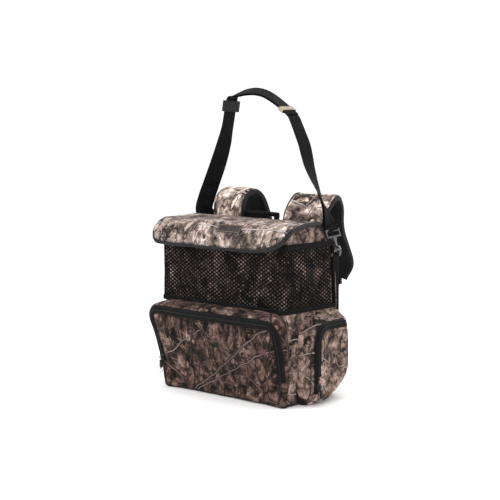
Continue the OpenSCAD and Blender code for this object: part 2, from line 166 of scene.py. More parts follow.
def camo(name, light, seed, tint, turn, leaves, streak, punch=1.22, branch=0.0015):
    """Printed bark, leaf and twig camouflage on woven polyester. light scales the whole print: painted light
    and shade, set for each piece by how brightly it is lit. tint scales its green and blue, turn leans it
    (degrees), leaves and streak are shares, punch is contrast and branch half the width of the widest twigs (m)."""
    p = Paint(name)
    x, y, z = p.parts(p.place)
    along = p.math("ADD", x, p.times(y, 0.92))
    up = p.math("ADD", z, p.times(y, 0.8))
    flat_sheet = p.warp(p.node("CombineXYZ", {0: along, 1: up, 2: seed}).outputs[0], turn=(0, 0, turn))
    sheet = p.warp(p.node("CombineXYZ", {0: x, 1: z, 2: y}).outputs[0], turn=(0, 0, turn), shift=(seed, 0, seed))

    def bent(vector, size, reach):
        """Coordinates pushed about by noise of this scale, reach m at most."""
        n = p.node("TexNoise", {"Vector": vector, "Scale": size, "Detail": 4.0}).outputs["Color"]
        n = p.node("VectorMath", {0: n, 1: (0.5, 0.5, 0.5)}, operation="SUBTRACT").outputs[0]
        n = p.node("VectorMath", {0: n, "Scale": reach}, operation="SCALE").outputs[0]
        return p.node("VectorMath", {0: vector, 1: n}, operation="ADD").outputs[0]

    soft, torn = bent(sheet, 14, 0.05), bent(bent(sheet, 30, 0.022), 130, 0.007)
    zone = p.step(p.noise(sheet, 12, 2), 0.44, 0.56)
    upright = p.noise(p.warp(soft, (1, 0.13, 1), (0, 0, 14)), 230, 4, 0.62)
    level = p.noise(p.warp(soft, (0.16, 1, 1), (0, 0, -12)), 210, 4, 0.62)
    grain = p.mix(zone, upright, level)
    mottle = p.noise(torn, 40, 6, 0.68)
    tone = p.math("ADD", p.times(mottle, 1 - streak), p.times(grain, streak))
    ground = p.ramp(tone, (0.36, (0.016, 0.012, 0.010)), (0.45, (0.062, 0.046, 0.036)),
                    (0.51, (0.135, 0.101, 0.078)), (0.58, (0.235, 0.186, 0.150)), (0.70, (0.40, 0.335, 0.28)))
    for size, lean, reach, show in ((19, 68, 0.36, 0.60 - leaves), (34, -52, 0.34, 0.64 - leaves)):
        flat = p.warp(torn, (1.8, 0.5, 1), (0, 0, lean), (lean * 0.01, 0, 0))
        off = p.cells(flat, size)
        pick = p.node("SeparateColor", {0: p.cells(flat, size, "Color")}).outputs
        seen = p.step(pick[0], show, show + 0.02)
        rim = p.times(p.step(off, reach, reach + 0.12, 1, 0), seen)
        leaf = p.times(p.step(off, reach - 0.05, reach, 1, 0), seen)
        rib = p.step(p.math("PINGPONG", p.parts(flat)[0], 0.0045), 0.0004, 0.0011)
        body = p.mix(pick[1], (0.30, 0.235, 0.18), (0.13, 0.092, 0.066))
        veins = p.mix(rib, (0.42, 0.36, 0.30), (0.09, 0.065, 0.048))
        body = p.mix(p.times(p.step(grain, 0.40, 0.62), 0.6), body, veins)
        ground = p.mix(p.times(rim, 0.75), ground, (0.012, 0.009, 0.008))
        ground = p.mix(p.times(leaf, 0.8), ground, body)
    for size, lean, wide, dark, low in ((26, 66, 0.05, 0.8, 0.46), (58, -74, 0.07, 0.6, 0.52),
                                        (110, 20, 0.08, 0.4, 0.52)):
        edge = p.cells(p.warp(torn, (1, 0.24, 1), (0, 0, lean)), size, feature="DISTANCE_TO_EDGE")
        some = p.step(p.noise(sheet, size * 0.7, 3), low, low + 0.1)
        crack = p.times(p.step(edge, 0.0, wide, 1, 0), some)
        ground = p.mix(p.times(crack, dark), ground, (0.012, 0.0095, 0.008))
    gaps = p.step(p.noise(p.warp(torn, (1, 0.6, 1), (0, 0, 78), (3, 1, 2)), 20, 6, 0.72), 0.565, 0.605)
    ground = p.mix(p.times(gaps, 0.93), ground, (0.010, 0.008, 0.0075))
    for i, (lean, apart, wide, tone) in enumerate((
            (66, 0.046, 0.0009, (0.34, 0.29, 0.25)), (-62, 0.057, 0.0012, (0.26, 0.21, 0.175)),
            (8, 0.052, 0.0016, (0.13, 0.10, 0.077)), (58, 0.070, branch, (0.25, 0.21, 0.18)))):
        line = bent(bent(p.warp(flat_sheet, turn=(0, 0, lean), shift=(i * 0.71, 0, i)), 5, 0.045), 40, 0.005)
        off = p.math("PINGPONG", p.parts(line)[0], apart)
        some = p.step(p.noise(p.warp(sheet, shift=(i * 3.1, 1, i)), 8, 2), 0.46, 0.50)
        shade = p.times(p.step(off, wide, wide * 2.6, 0.85, 0), some)
        twig = p.times(p.step(off, wide * 0.8, wide * 1.15, 1, 0), some)
        ground = p.mix(shade, ground, (0.012, 0.009, 0.008))
        ground = p.mix(twig, ground, p.mix(grain, tone, tuple(c * 0.35 for c in tone)))
    drift = p.noise(sheet, 7, 2)
    ground = p.mix(p.step(drift, 0.36, 0.66, 0, 0.5), ground, p.mix(1.0, ground, (0.45, 0.42, 0.40), "MULTIPLY"))
    ground = p.node("Gamma", {0: ground, 1: punch}).outputs[0]
    # Painted light and shade: light, raised to make up for punch, brightens or darkens this piece's whole print.
    light *= 1.6 ** ((punch - 1) / 0.22)
    ground = p.mix(1.0, ground, (light, light * tint[0], light * tint[1]), "MULTIPLY")
    weave = woven(p, p.place, 0.9)
    worn = p.noise(p.place, 420, 3)
    p.bumps((p.noise(p.place, 60, 3), 0.35, 1.6), (weave, 0.25, 0.25), (worn, 0.2, 0.2))
    return p.done(ground, p.step(worn, 0.3, 0.7, 0.76, 0.92), sheen=0.03)


def tape(name, dark, bright, rib_mm=1.5, rough=0.78, sheen=0.0, use_uv=True):
    """Woven tape: ribs across it with painted highlights on their crests, a fine twill over them, and paler worn
    edges.
    """
    p = Paint(name)
    where = p.uv if use_uv else p.place
    rib = p.wave(where, bands(rib_mm), along="Y")
    twill = p.wave(p.warp(where, turn=(0, 0, 45)), bands(0.7))
    dust = p.noise(p.place, 55, 4, 0.65)
    colour = p.mix(p.step(dust, 0.42, 0.75), dark, bright)
    # Painted highlight: the rib crests are coloured paler, following the same wave that raises them in the bump.
    colour = p.mix(p.times(rib, 0.35), colour, bright)
    p.bumps((p.noise(p.place, 40, 2), 0.25, 1.0), (rib, 0.6, 0.35), (twill, 0.3, 0.15))
    return p.done(colour, p.step(dust, 0.3, 0.7, rough - 0.08, rough + 0.1), sheen=sheen, spec=0.09)


def airmesh(name):
    """Black spacer mesh with small round holes, their shade painted in darker."""
    p = Paint(name)
    hole = p.cells(p.place, 1000 / 3.2, random=0.25)
    pit = p.step(hole, 0.16, 0.34)
    dust = p.noise(p.place, 30, 3)
    # Painted shade: the holes are coloured darker than the yarn round them.
    colour = p.mix(pit, (0.003, 0.003, 0.003), p.mix(dust, (0.007, 0.0065, 0.007), (0.018, 0.017, 0.0175)))
    p.bumps((p.noise(p.place, 35, 3), 0.3, 1.5), (pit, 0.8, 0.7))
    return p.done(colour, 0.85, sheen=0.04)


def plastic(name, colour, rough=0.42):
    p = Paint(name)
    grain = p.noise(p.place, 1400, 2)
    wear = p.noise(p.place, 90, 5, 0.7)
    tone = p.mix(p.step(wear, 0.5, 0.8), colour, tuple(c * 2.2 + 0.01 for c in colour))
    p.bumps((wear, 0.1, 0.3), (grain, 0.35, 0.08))
    return p.done(tone, p.step(wear, 0.35, 0.7, rough - 0.08, rough + 0.18), spec=0.22)


def metal(name, colour, rough=0.28):
    p = Paint(name)
    brushed = p.noise(p.warp(p.place, (1, 1, 8)), 500, 3)
    wear = p.noise(p.place, 150, 5, 0.7)
    tone = p.mix(p.step(wear, 0.45, 0.75), colour, tuple(c * 0.45 for c in colour))
    p.bumps((brushed, 0.15, 0.05), (wear, 0.1, 0.15))
    return p.done(tone, p.step(wear, 0.35, 0.75, rough, rough + 0.22), metal=1.0, spec=0.5)


def lining(name, colour):
    p = Paint(name)
    ripple = p.noise(p.place, 24, 4)
    weave = woven(p, p.place, 0.8)
    p.bumps((ripple, 0.5, 2.0), (weave, 0.35, 0.2))
    # Painted light and shade: the raised wrinkles of the ripple bump are coloured lighter and the hollows
    # darker.
    return p.done(p.mix(ripple, colour, tuple(c * 1.9 for c in colour)), 0.6, sheen=0.1)


def pile(name, hooks):
    p = Paint(name)
    tuft = p.cells(p.place, 1000 / (1.3 if hooks else 0.9), random=0.3 if hooks else 1.0)
    haze = p.noise(p.place, 300, 4, 0.8)
    p.bumps((haze, 0.5, 0.5), (tuft, 1.0, 0.8))
    return p.done(p.mix(tuft, (0.02, 0.019, 0.0195), (0.005, 0.005, 0.005)), 0.95, sheen=0.1)


# The same camo print in lit and shaded copies: each light value paints light or shade onto its pieces. The lid
# and the straps are brightened, the body is brightened to offset the shadow the net casts on it, and the front
# pocket is darkened as painted shade.
CAMO_LID = camo("camo lid", 2.25, 0.4, (1.10, 1.30), 24, 0.08, 0.16, 1.25, 0.0011)
CAMO_BODY = camo("camo body", 1.72, 2.1, (0.99, 1.12), -15, 0.04, 0.25)
CAMO_POCKET = camo("camo pocket", 0.72, 4.7, (0.94, 1.12), 0, 0.02, 0.26, 1.6)
CAMO_SIDE = camo("camo side pocket", 1.72, 7.2, (0.98, 1.11), 0, 0.03, 0.25, 1.3)
CAMO_STRAP = camo("camo straps", 3.7, 9.4, (1.09, 1.25), 33, 0.08, 0.15, 1.22, 0.0011)
NET = tape("net yarn", (0.0018, 0.0016, 0.0018), (0.005, 0.0045, 0.005), 1.2, 0.9, 0.0, False)
WEBBING = tape("black webbing", (0.003, 0.0026, 0.003), (0.012, 0.0108, 0.0118), 1.7)
BINDING = tape("grey binding", (0.013, 0.0115, 0.013), (0.042, 0.0375, 0.041), 1.2, 0.6, 0.03)
ZIP_TAPE = tape("zip tape", (0.0025, 0.0022, 0.0025), (0.012, 0.0108, 0.0118), 1.1, 0.6)
TAN = tape("tan tape", (0.34, 0.27, 0.20), (0.50, 0.42, 0.33), 1.6)
LABEL = tape("woven label", (0.035, 0.030, 0.029), (0.085, 0.073, 0.068), 0.9)
THREAD = tape("dark thread", (0.008, 0.007, 0.007), (0.03, 0.027, 0.026), 0.8, use_uv=False)
TAN_THREAD = tape("tan thread", (0.30, 0.24, 0.17), (0.46, 0.38, 0.28), 0.8, use_uv=False)
AIRMESH = airmesh("spacer mesh")
COIL = plastic("zip coil", (0.012, 0.0115, 0.0125), 0.38)
ACETAL = plastic("black acetal", (0.004, 0.004, 0.0045), 0.42)
SLEEVE = plastic("pull sleeve", (0.008, 0.0075, 0.0075), 0.5)
STEEL = metal("plated steel", (0.36, 0.35, 0.345))
DARK_STEEL = metal("dark plated steel", (0.16, 0.155, 0.15), 0.32)
LINING = lining("coated lining", (0.008, 0.0075, 0.0075))
HOOKS, LOOPS = pile("hook tape", True), pile("loop tape", False)


# ---- mesh helpers

class Soup:
    """Points in millimetres, faces and a flat map in metres, gathered into one piece."""

    def __init__(self):
        self.points, self.faces, self.tints, self.flat = [], [], [], []

    def add(self, p, uv=(0.0, 0.0)):
        self.points.append(Vector(p))
        self.flat.append(uv)
        return len(self.points) - 1

    def face(self, ids, tint=0):
        self.faces.append(tuple(ids))
        self.tints.append(tint)

    def grid(self, rows, closed=False, uvs=None):
        first, n = len(self.points), len(rows[0])
        for i, row in enumerate(rows):
            for j, p in enumerate(row):
                self.add(p, uvs(i, j) if uvs else (j * 0.002, i * 0.002))
        for i in range(len(rows) - 1):
            for j in range(n if closed else n - 1):
                k = (j + 1) % n
                a, b = first + i * n, first + (i + 1) * n
                self.face((a + j, a + k, b + k, b + j))

    def tube(self, rings, loop=False):
        """Closed rings joined into a solid, with flat ends unless it is a loop."""
        n, m = len(rings[0]), len(rings)
        first, run, last = len(self.points), 0.0, None
        for i, ring in enumerate(rings):
            mid = sum(ring, Vector()) / n
            run += (mid - last).length * MM if last else 0.0
            last = mid
            around = 0.0
            for j, p in enumerate(ring):
                if j:
                    around += (p - ring[j - 1]).length * MM
                self.add(p, (around, run))
        for i in range(m if loop else m - 1):
            for j in range(n):
                a, b = first + i * n, first + ((i + 1) % m) * n
                self.face((a + j, a + (j + 1) % n, b + (j + 1) % n, b + j))
        if not loop:
            self.face([first + j for j in reversed(range(n))])
            self.face([first + (m - 1) * n + j for j in range(n)])

    def brick(self, centre, ax, ay, az, tint=0, pinch=0.75):
        """A small block with a pinched top, for teeth and stitches. ax, ay, az are half sizes."""
        ids = []
        for s, k in ((-1, 1.0), (1, pinch)):
            ids += [self.add(centre + az * s + ax * (u * k) + ay * (v * k))
                    for u, v in ((-1, -1), (1, -1), (1, 1), (-1, 1))]
        for f in ((3, 2, 1, 0), (4, 5, 6, 7), (0, 1, 5, 4), (1, 2, 6, 5), (2, 3, 7, 6), (3, 0, 4, 7)):
            self.face([ids[i] for i in f], tint)

    def piece(self, name, mats, body, nodes=(), slot=None, smooth=True):
        """Makes the object; it rides on the body and stands for the CAD nodes."""
        me = bpy.data.meshes.new(name)
        me.from_pydata([p * MM for p in self.points], [], self.faces)
        uv = me.uv_layers.new(name="flat")
        for loop in me.loops:
            uv.data[loop.index].uv = self.flat[loop.vertex_index]
        for m in mats if isinstance(mats, (list, tuple)) else [mats]:
            me.materials.append(m)
        for f, t in zip(me.polygons, self.tints):
            f.material_index, f.use_smooth = t, smooth
        ob = bpy.data.objects.new(name, me)
        bpy.context.scene.collection.objects.link(ob)
        face_outwards(ob)
        if body:
            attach(ob, body)
        if nodes:
            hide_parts(*nodes)
        return ob


def face_outwards(ob):
    bm = bmesh.new()
    bm.from_mesh(ob.data)
    bmesh.ops.recalc_face_normals(bm, faces=bm.faces)
    bm.to_mesh(ob.data)
    bm.free()


def sheet(name, rows, mat, body, node, mm, side=-1):
    """A plain thickened sheet of black fabric that stands for one node."""
    soup = Soup()
    soup.grid(rows)
    thicken(soup.piece(name, mat, body, [node], "black_fabric"), mm, side)


def thicken(ob, mm, side=-1, inner=None):
    """Cloth thickness, inwards for side -1; inner is the material of the back and the rim."""
    m = ob.modifiers.new("cloth thickness", "SOLIDIFY")
    m.thickness, m.offset, m.use_even_offset = mm * MM, side, False
    if inner:
        ob.data.materials.append(inner)
        m.material_offset = m.material_offset_rim = len(ob.data.materials) - 1
    return ob


def soften(ob):
    m = ob.modifiers.new("smooth", "SUBSURF")
    m.levels = m.render_levels = 1


def spline(points, per=6):
    """Smooth line through points (tuples of any length), `per` steps between each two."""
    pts = [Vector(p) for p in points]
    pts = [pts[0] * 2 - pts[1]] + pts + [pts[-1] * 2 - pts[-2]]
    out = []
    for i in range(1, len(pts) - 2):
        a, b, c, d = pts[i - 1:i + 3]
        for k in range(per):
            t = k / per
            out.append(0.5 * (2 * b + (c - a) * t + (2 * a - 5 * b + 4 * c - d) * t * t
                              + (3 * b - a - 3 * c + d) * t ** 3))
    return out + [pts[-2]]


def even(points, step):
    """The same line with points one step apart, or a little less."""
    total = sum((b - a).length for a, b in zip(points, points[1:]))
    n = max(2, round(total / step))
    out, want, run = [points[0].copy()], total / n, 0.0
    for a, b in zip(points, points[1:]):
        d = (b - a).length
        while d > 0 and run + d >= want - 1e-9 and len(out) < n:
            out.append(a.lerp(b, (want - run) / d))
            want += total / n
        run += d
    return out + [points[-1].copy()]


def heading(points, i):
    return (points[min(i + 1, len(points) - 1)] - points[max(i - 1, 0)]).normalized()


def toward(v, power):
    """v's sign times a power of its size: squares up a circle."""
    return math.copysign(abs(v) ** power, v)


def oval(w, t, n):
    """Cross-section of a flat strap with rounded edges."""
    out = []
    for k in range(n):
        a = 2 * pi * (k + 0.5) / n
        out.append((w / 2 * toward(cos(a), 0.35), t / 2 * toward(sin(a), 0.8)))
    return out


def strap(soup, points, across, w, t, lift=0.0, n=14, crown=0.0, wave=0.0):
    """Sweeps a flat strap w wide and t thick, both in mm. w, t and lift may be functions of the
    share of the length, and across may be one of the point's number."""
    rings, m = [], len(points) - 1
    for i, p in enumerate(points):
        s = i / m
        d = heading(points, i)
        a = Vector(across(i) if callable(across) else across)
        a = (a - d * a.dot(d)).normalized()
        out = d.cross(a)
        ww, tt, ll = (v(s) if callable(v) else v for v in (w, t, lift))
        ring = []
        for x, y in oval(ww, tt, n):
            bow = crown * (1 - (2 * x / ww) ** 2)
            bow += wave * noise.noise(Vector((p.x * 0.02 + x * 0.03, p.y * 0.02, p.z * 0.02)))
            ring.append(p + a * x + out * (y + ll + bow))
        rings.append(ring)
    soup.tube(rings)


def cord_along(soup, points, r=0, n=8, loop=False, squash=None):
    """Piping: a round tube along a line, or a flattened one where squash gives (across, wide, thick)."""
    rings, up = [], None
    turns = [2 * pi * k / n for k in range(n)]
    for i, p in enumerate(points):
        d = heading(points, i)
        if squash:
            a, wide, thick = squash(i)
            a = (a - d * a.dot(d)).normalized()
            b = d.cross(a)
            rings.append([p + a * (wide * cos(t)) + b * (thick * sin(t)) for t in turns])
            continue
        if up is None:
            up = Vector((0, 0, 1)) if abs(d.z) < 0.9 else Vector((1, 0, 0))
        a = d.cross(up).normalized()
        up = a.cross(d).normalized()
        rings.append([p + (a * cos(t) + up * sin(t)) * r for t in turns])
    soup.tube(rings, loop)


def stitches(soup, points, normal, long=2.6, skip=1.4, r=0.35, lift=0.25):
    """A row of thread stitches on a line; normal(share of the line, point) points out of the cloth."""
    step = 0.7
    line = even(points, step)
    every, on = max(2, round((long + skip) / step)), max(1, round(long / step))
    for i in range(0, len(line) - on, every):
        a, b = line[i], line[i + on]
        d = (b - a).normalized()
        n = Vector(normal(i / max(1, len(line) - 1), a)).normalized()
        side = d.cross(n).normalized()
        soup.brick((a + b) / 2 + n * lift, d * ((b - a).length / 2), side * r, n * r, pinch=0.6)


def sew(name, mat, body, slot, rows, **how):
    """Rows of stitches as one piece; a row is (line, normal)."""
    soup = Soup()
    for line, normal in rows:
        stitches(soup, line, normal, **how)
    soup.piece(name, mat, body, slot=slot, smooth=False)


def crumple(ob, held, grow, frames, cap, air=0.0, drop=0.3):
    """Cloth simulation: sewn-down cloth a little too big for its outline settles into folds.
    held lists (point, weight), grow is the extra size, cap the farthest a point may move (mm), air the
    pressure inside and drop the share of gravity."""
    group = ob.vertex_groups.new(name="held")
    for i, w in held:
        group.add([i], w, "REPLACE")
    start = [v.co.copy() for v in ob.data.vertices]
    m = ob.modifiers.new("settle", "CLOTH")
    s = m.settings
    s.vertex_group_mass = "held"
    s.quality, s.mass, s.air_damping = 5, 0.25, 3.0
    s.tension_stiffness = s.compression_stiffness = 12
    s.shear_stiffness, s.bending_stiffness = 6, 0.35
    s.shrink_min = -grow
    s.effector_weights.gravity = drop
    if air:
        s.use_pressure, s.uniform_pressure_force = True, air
    m.collision_settings.use_collision = False
    m.point_cache.frame_start, m.point_cache.frame_end = 1, frames
    scene = bpy.context.scene
    for f in range(1, frames + 1):
        scene.frame_set(f)
    settled = ob.evaluated_get(bpy.context.evaluated_depsgraph_get()).data
    for v, a, b in zip(ob.data.vertices, start, [v.co.copy() for v in settled.vertices]):
        move = b - a
        far = move.length
        if far > cap * MM:
            move *= cap * MM / far
        v.co = a + move
    ob.modifiers.remove(m)
    ob.vertex_groups.remove(group)
    scene.frame_set(1)


def clamp(v, low=0.0, high=1.0):
    return max(low, min(high, v))


def ease(v):
    v = clamp(v)
    return v * v * (3 - 2 * v)


def ripple(x, y, z, size, seed=0.0):
    """Smooth unevenness between about -1 and 1, with waves of this size."""
    return noise.noise(Vector((x / size + seed, y / size, z / size - seed)))


# ---- main bag

# half sizes of the CAD bag, heights of its rim and of its rear edge, and where the yoke starts to slope
HX, HY, RIM, REAR, RIDGE = 165, 84, 362, 292, 12
CORNER = 5  # points round each corner of the plan


def yoke_z(y):
    """Height of the bag's top edge, level to the ridge and then sloping to the rear."""
    return RIM - max(0, y - RIDGE) * (RIM - REAR) / (HY - RIDGE)


def plan(hx, y0, y1, r, counts):
    """Rounded rectangle seen from above, anticlockwise from the front left."""
    legs = [((-hx + r, y0), (hx - r, y0)), ((hx, y0 + r), (hx, y1 - r)),
            ((hx - r, y1), (-hx + r, y1)), ((-hx, y1 - r), (-hx, y0 + r))]
    mids = [(hx - r, y0 + r), (hx - r, y1 - r), (-hx + r, y1 - r), (-hx + r, y0 + r)]
    out = []
    for k, ((ax, ay), (bx, by)) in enumerate(legs):
        n = counts[k % 2]
        out += [(ax + (bx - ax) * i / n, ay + (by - ay) * i / n) for i in range(n)]
        for i in range(CORNER):
            a = rad(90 * k - 90 + 90 * i / CORNER)
            out.append((mids[k][0] + r * cos(a), mids[k][1] + r * sin(a)))
    return out


def rear_lift(y, z):
    """The stuffed bag sits on its front: its rear foot hangs a little clear of the floor."""
    return 11 * ease((y - 5) / 75) * ease((80 - z) / 80)


def taper(y, by):
    """How far the sides draw in behind the net."""
    return by * ease((y - 45) / 20)


def make_bag():
    levels = [(26, 0.2), (9, 0.0), (3, 1.6), (0.7, 5), (0, 10)] + [(0, 10 + 352 * i / 44) for i in range(1, 45)]
    rows, held = [], []
    hx, hy = HX + 6.2, HY + 5  # half sizes of the stuffed cloth
    for inset, z in levels:
        row = []
        for x, y in plan(hx - inset, -hy + inset, hy - inset, max(2, 4.5 - inset / 2), (46, 24)):
            top = z if z < 190 else 190 + (z - 190) * (yoke_z(y) - 190) / (RIM - 190)
            full = 1.2 * sin(pi * clamp(z / RIM)) * (1 if abs(x) < hx - 1 else 0.4)
            push = full + 0.8 * ripple(x, y, z, 60, 3)
            side = abs(x) > hx - inset - 3
            out = Vector((math.copysign(1, x) if side else 0, 0 if side else math.copysign(1, y), 0))
            if side:
                push -= taper(y, 4.8)
            if y > HY - 3:
                push -= 4.0
            row.append(Vector((x, y, top + rear_lift(y, z))) + out * (push - 1.2))
        rows.append(row)
    soup = Soup()
    soup.grid(rows, closed=True, uvs=lambda i, j: (j * 0.007, i * 0.008))
    soup.face(range(len(rows[0]) - 1, -1, -1))
    ob = soup.piece("bag_body", CAMO_BODY, "bag", ["main_body"], "camo_body")
    n = len(rows[0])
    for i in range(len(rows)):
        for j in range(n):
            x, y = rows[i][j].x, rows[i][j].y
            near, far = sorted((hx - abs(x), hy - abs(y)))
            sewn = i < 5 or i > len(rows) - 3 or y > HY - 4 or near < 3.5 and far < 14
            held.append((i * n + j, 1.0 if sewn else 0.06))
    crumple(ob, held, 0.022, 16, 2.2)
    thicken(ob, 2.4, -1, LINING)

    soup = Soup()
    rows = []
    for i in range(15):
        y = RIDGE - 2 + (HY - RIDGE + 1.5) * i / 14
        wide = 2 * (hx - 1.5 - taper(y, 4.8))
        rows.append([Vector((wide * (j / 48 - 0.5), y, yoke_z(y) + 0.4
                             - 2.5 * sin(pi * i / 14) * sin(pi * j / 48))) for j in range(49)])
    soup.grid(rows)
    yoke = soup.piece("bag_yoke", CAMO_BODY, "bag", slot="camo_body")
    crumple(yoke, [(i * 49 + j, 1.0) for i in range(15) for j in range(49) if i in (0, 14) or j in (0, 48)],
            0.02, 12, 4.0)
    thicken(yoke, 2, -1, LINING)
    soften(yoke)

    soup = Soup()
    for s in (-1, 1):
        slope = [Vector((s * (hx - 1.2 - taper(y, 4.4)), y, yoke_z(y))) for y in (RIDGE, 30, 48, 66, HY - 3)]
        corner = [Vector((s * (hx - 6.4), hy - 6.3, z)) for z in (REAR - 4, REAR - 40, 240, 160, 80, 17)]
        cord_along(soup, spline(slope + [Vector((s * (hx - 5.4), hy - 5.5, REAR + 1))] + corner, 5), 1.7, n=10)
    for y, z in ((hy - 5, REAR), (RIDGE, RIM + 0.6)):
        line = [Vector((x, y, z + 0.8 * ripple(x, y, z, 30))) for x in range(-164, 165, 8)]
        cord_along(soup, line, 2.2, n=10)
    line = [Vector((x - math.copysign(taper(y, 4), x), y, 2.5 + rear_lift(y, 0)))
            for x, y in plan(hx - 1.5, -hy + 1.5, hy - 6.5, 5, (10, 12))]
    cord_along(soup, line, 1.9, loop=True)
    soup.piece("bag_piping", BINDING, "bag", slot="binding")

    sheet("rear_lining", [[Vector((-157 + 314 * j / 24, 79.8 - ripple(j, 0, i, 5), 5 + 268 * i / 20))
                           for j in range(25)] for i in range(21)], LINING, "bag", "frame_sheet", 1.6)
    sheet("base_lining", [[Vector((-158 + 316 * j / 24, -76 + 150 * i / 14, 5.2 + 0.6 * ripple(j, i, 0, 4)))
                           for j in range(25)] for i in range(15)], LINING, "bag", "base_board", 1.8)


# ---- net pocket

NET_LOW, NET_TOP, NET_REAR = 190, 328, 54
MESH_WIDE, MESH_HIGH, MESH_OPEN = 12.4, 7.8, 0.61  # one diamond, and the open share of it


def net_line(off, rear=NET_REAR, step=3.0):
    """The net's plan: down the left side, across the front and back up the right, off mm outside the bag."""
    hx, y0, r = HX + off + 1.6, -HY - off - 1.2, 3.6
    pts = [Vector((-hx, rear, 0)), Vector((-hx, y0 + r, 0))]
    pts += [Vector((-hx + r - r * cos(rad(a)), y0 + r - r * sin(rad(a)), 0)) for a in range(15, 90, 15)]
    pts += [Vector((-hx + r, y0, 0)), Vector((hx - r, y0, 0))]
    pts += [Vector((hx - r + r * sin(rad(a)), y0 + r - r * cos(rad(a)), 0)) for a in range(15, 90, 15)]
    pts += [Vector((hx, y0 + r, 0)), Vector((hx, rear, 0))]
    return even(pts, step)


def fan(p):
    """The net's rear edge leans back towards the foot."""
    if p.y < -HY:
        return p
    return p + Vector((0, (6 + 8 * (NET_TOP - p.z) / (NET_TOP - NET_LOW)) * (p.y + HY) / (NET_REAR + HY), 0))


def make_net():
    low, high = NET_LOW + 6, NET_TOP - 5
    line = net_line(7.6, step=MESH_WIDE / 8)
    across = (len(line) - 1) // 8
    down = round((high - low) / MESH_HIGH)
    soup = Soup()

    def at(u, v):
        """u and v in cells."""
        k = clamp(u * 8, 0, len(line) - 1)
        i = min(int(k), len(line) - 2)
        p = line[i].lerp(line[i + 1], k - i)
        d = (line[i + 1] - line[i]).normalized()
        z = low + v * ((high - low) / down)
        loose = sin(pi * clamp(v / down))
        out = Vector((d.y, -d.x, 0))
        sag = 0.9 * ripple(p.x, p.y, z, 34, 5) * loose - 1.2 * loose
        return fan(p + out * sag + Vector((0, 0, z - 1.6 * loose * ripple(p.x, p.y, 0, 45, 8))))

    ids = {}

    def corner(u, v):
        key = (round(u * 2), round(v * 2))
        if key not in ids:
            ids[key] = soup.add(at(u, v))
        return ids[key]

    for j in range(down * 2 + 1):
        for i in range(across * 2 + 1):
            if (i + j) % 2:
                continue
            u, v = i / 2, j / 2
            if not (0.5 <= u <= across - 0.5 and 0.5 <= v <= down - 0.5):
                continue
            ring = [corner(u + 0.5, v), corner(u, v + 0.5), corner(u - 0.5, v), corner(u, v - 0.5)]
            k = 0.5 * MESH_OPEN
            inner = [soup.add(at(*c)) for c in ((u + k, v), (u, v + k), (u - k, v), (u, v - k))]
            for a in range(4):
                b = (a + 1) % 4
                soup.face((ring[a], ring[b], inner[b], inner[a]))
    thicken(soup.piece("net_mesh", NET, "bag", ["net_pocket"], "net", smooth=False), 0.7)

    soup = Soup()
    line = [fan(p + Vector((0, 0, NET_TOP - 4.5 + 0.8 * ripple(p.x, p.y, 0, 30)))) for p in net_line(7.8)]
    strap(soup, line, (0, 0, 1), 10.5, 2.6, wave=1.2)
    line = [fan(p + Vector((0, 0, NET_TOP + 0.4 + 0.8 * ripple(p.x, p.y, 0, 30)))) for p in net_line(7.4)]
    cord_along(soup, line, 1.5, n=8)
    soup.piece("net_elastic", WEBBING, "bag", ["net_top_elastic"], "black_fabric")

    soup = Soup()
    line = [fan(p + Vector((0, 0, NET_LOW + 4.4 + 0.8 * ripple(p.x, p.y, 9, 40)))) for p in net_line(7.4)]
    strap(soup, line, (0, 0, 1), 10.5, 2.4, wave=0.8)
    line = [Vector((p.x * 0.98, p.y + 3.5 if p.y < -70 else p.y, NET_LOW + 3.0)) for p in net_line(7.0)]
    strap(soup, line, (0, 0, 1), 5, 5.5, n=8)
    for s in (-1, 1):
        end = [fan(Vector((s * (HX + 6.6), NET_REAR - 1.5, z))) for z in range(NET_LOW, NET_TOP + 1, 6)]
        strap(soup, end, (1, 0, 0), 8, 4.4, n=10)
    soup.piece("net_band", WEBBING, "bag", ["net_bottom_band"], "black_fabric")

    def outward(_, p):
        return Vector((p.x if abs(p.x) > HX else 0, p.y if abs(p.y) > HY else 0, 0))

    sew("net_stitches", THREAD, "bag", "black_fabric",
        [([p + Vector((0, 0, NET_LOW + lift)) for p in net_line(8.8, 50)], outward) for lift in (2.0, 7.0)])


# ---- lid

LID_HALF, LID_TOP, NOSE_Y, NOSE_R = 179, 369, -77, 36
NOSE_Z = LID_TOP - NOSE_R
LID_FLAT = RIDGE + 2 - NOSE_Y
BEND = 13  # radius of the bend from the top into each cheek
LID_FLAT_HALF = LID_HALF - 1 - BEND


def lid_run(x):
    """Length of the lid from the ridge to its lip at x."""
    u = abs(x) / LID_HALF
    low = 310.5 + (27 * u ** 5 if x > 0 else 6 * u ** 4)
    return LID_FLAT + NOSE_R * (pi / 2 - math.asin((low - NOSE_Z) / NOSE_R))


def lid_at(s):
    """Point on the lid's middle line and the way out of it, s millimetres from the ridge."""
    if s < LID_FLAT:
        return Vector((0, RIDGE + 2 - s, LID_TOP)), Vector((0, 0, 1))
    a = pi / 2 + (s - LID_FLAT) / NOSE_R
    return Vector((0, NOSE_Y + NOSE_R * cos(a), NOSE_Z + NOSE_R * sin(a))), Vector((0, cos(a), sin(a)))


def lid_depth(s, side):
    """How far the cheek hangs down below the top at distance s."""
    at = (0, 44, LID_FLAT, LID_FLAT + 30)
    depths, lip = ((2.5, 10, 22, 17), 8) if side < 0 else ((1.8, 3.2, 13, 14), 7)
    for a, b, da, db in zip(at, at[1:], depths, depths[1:]):
        if s <= b:
            return da + (db - da) * ease((s - a) / (b - a))
    return depths[-1] + (lip - depths[-1]) * clamp((s - at[-1]) / 20)


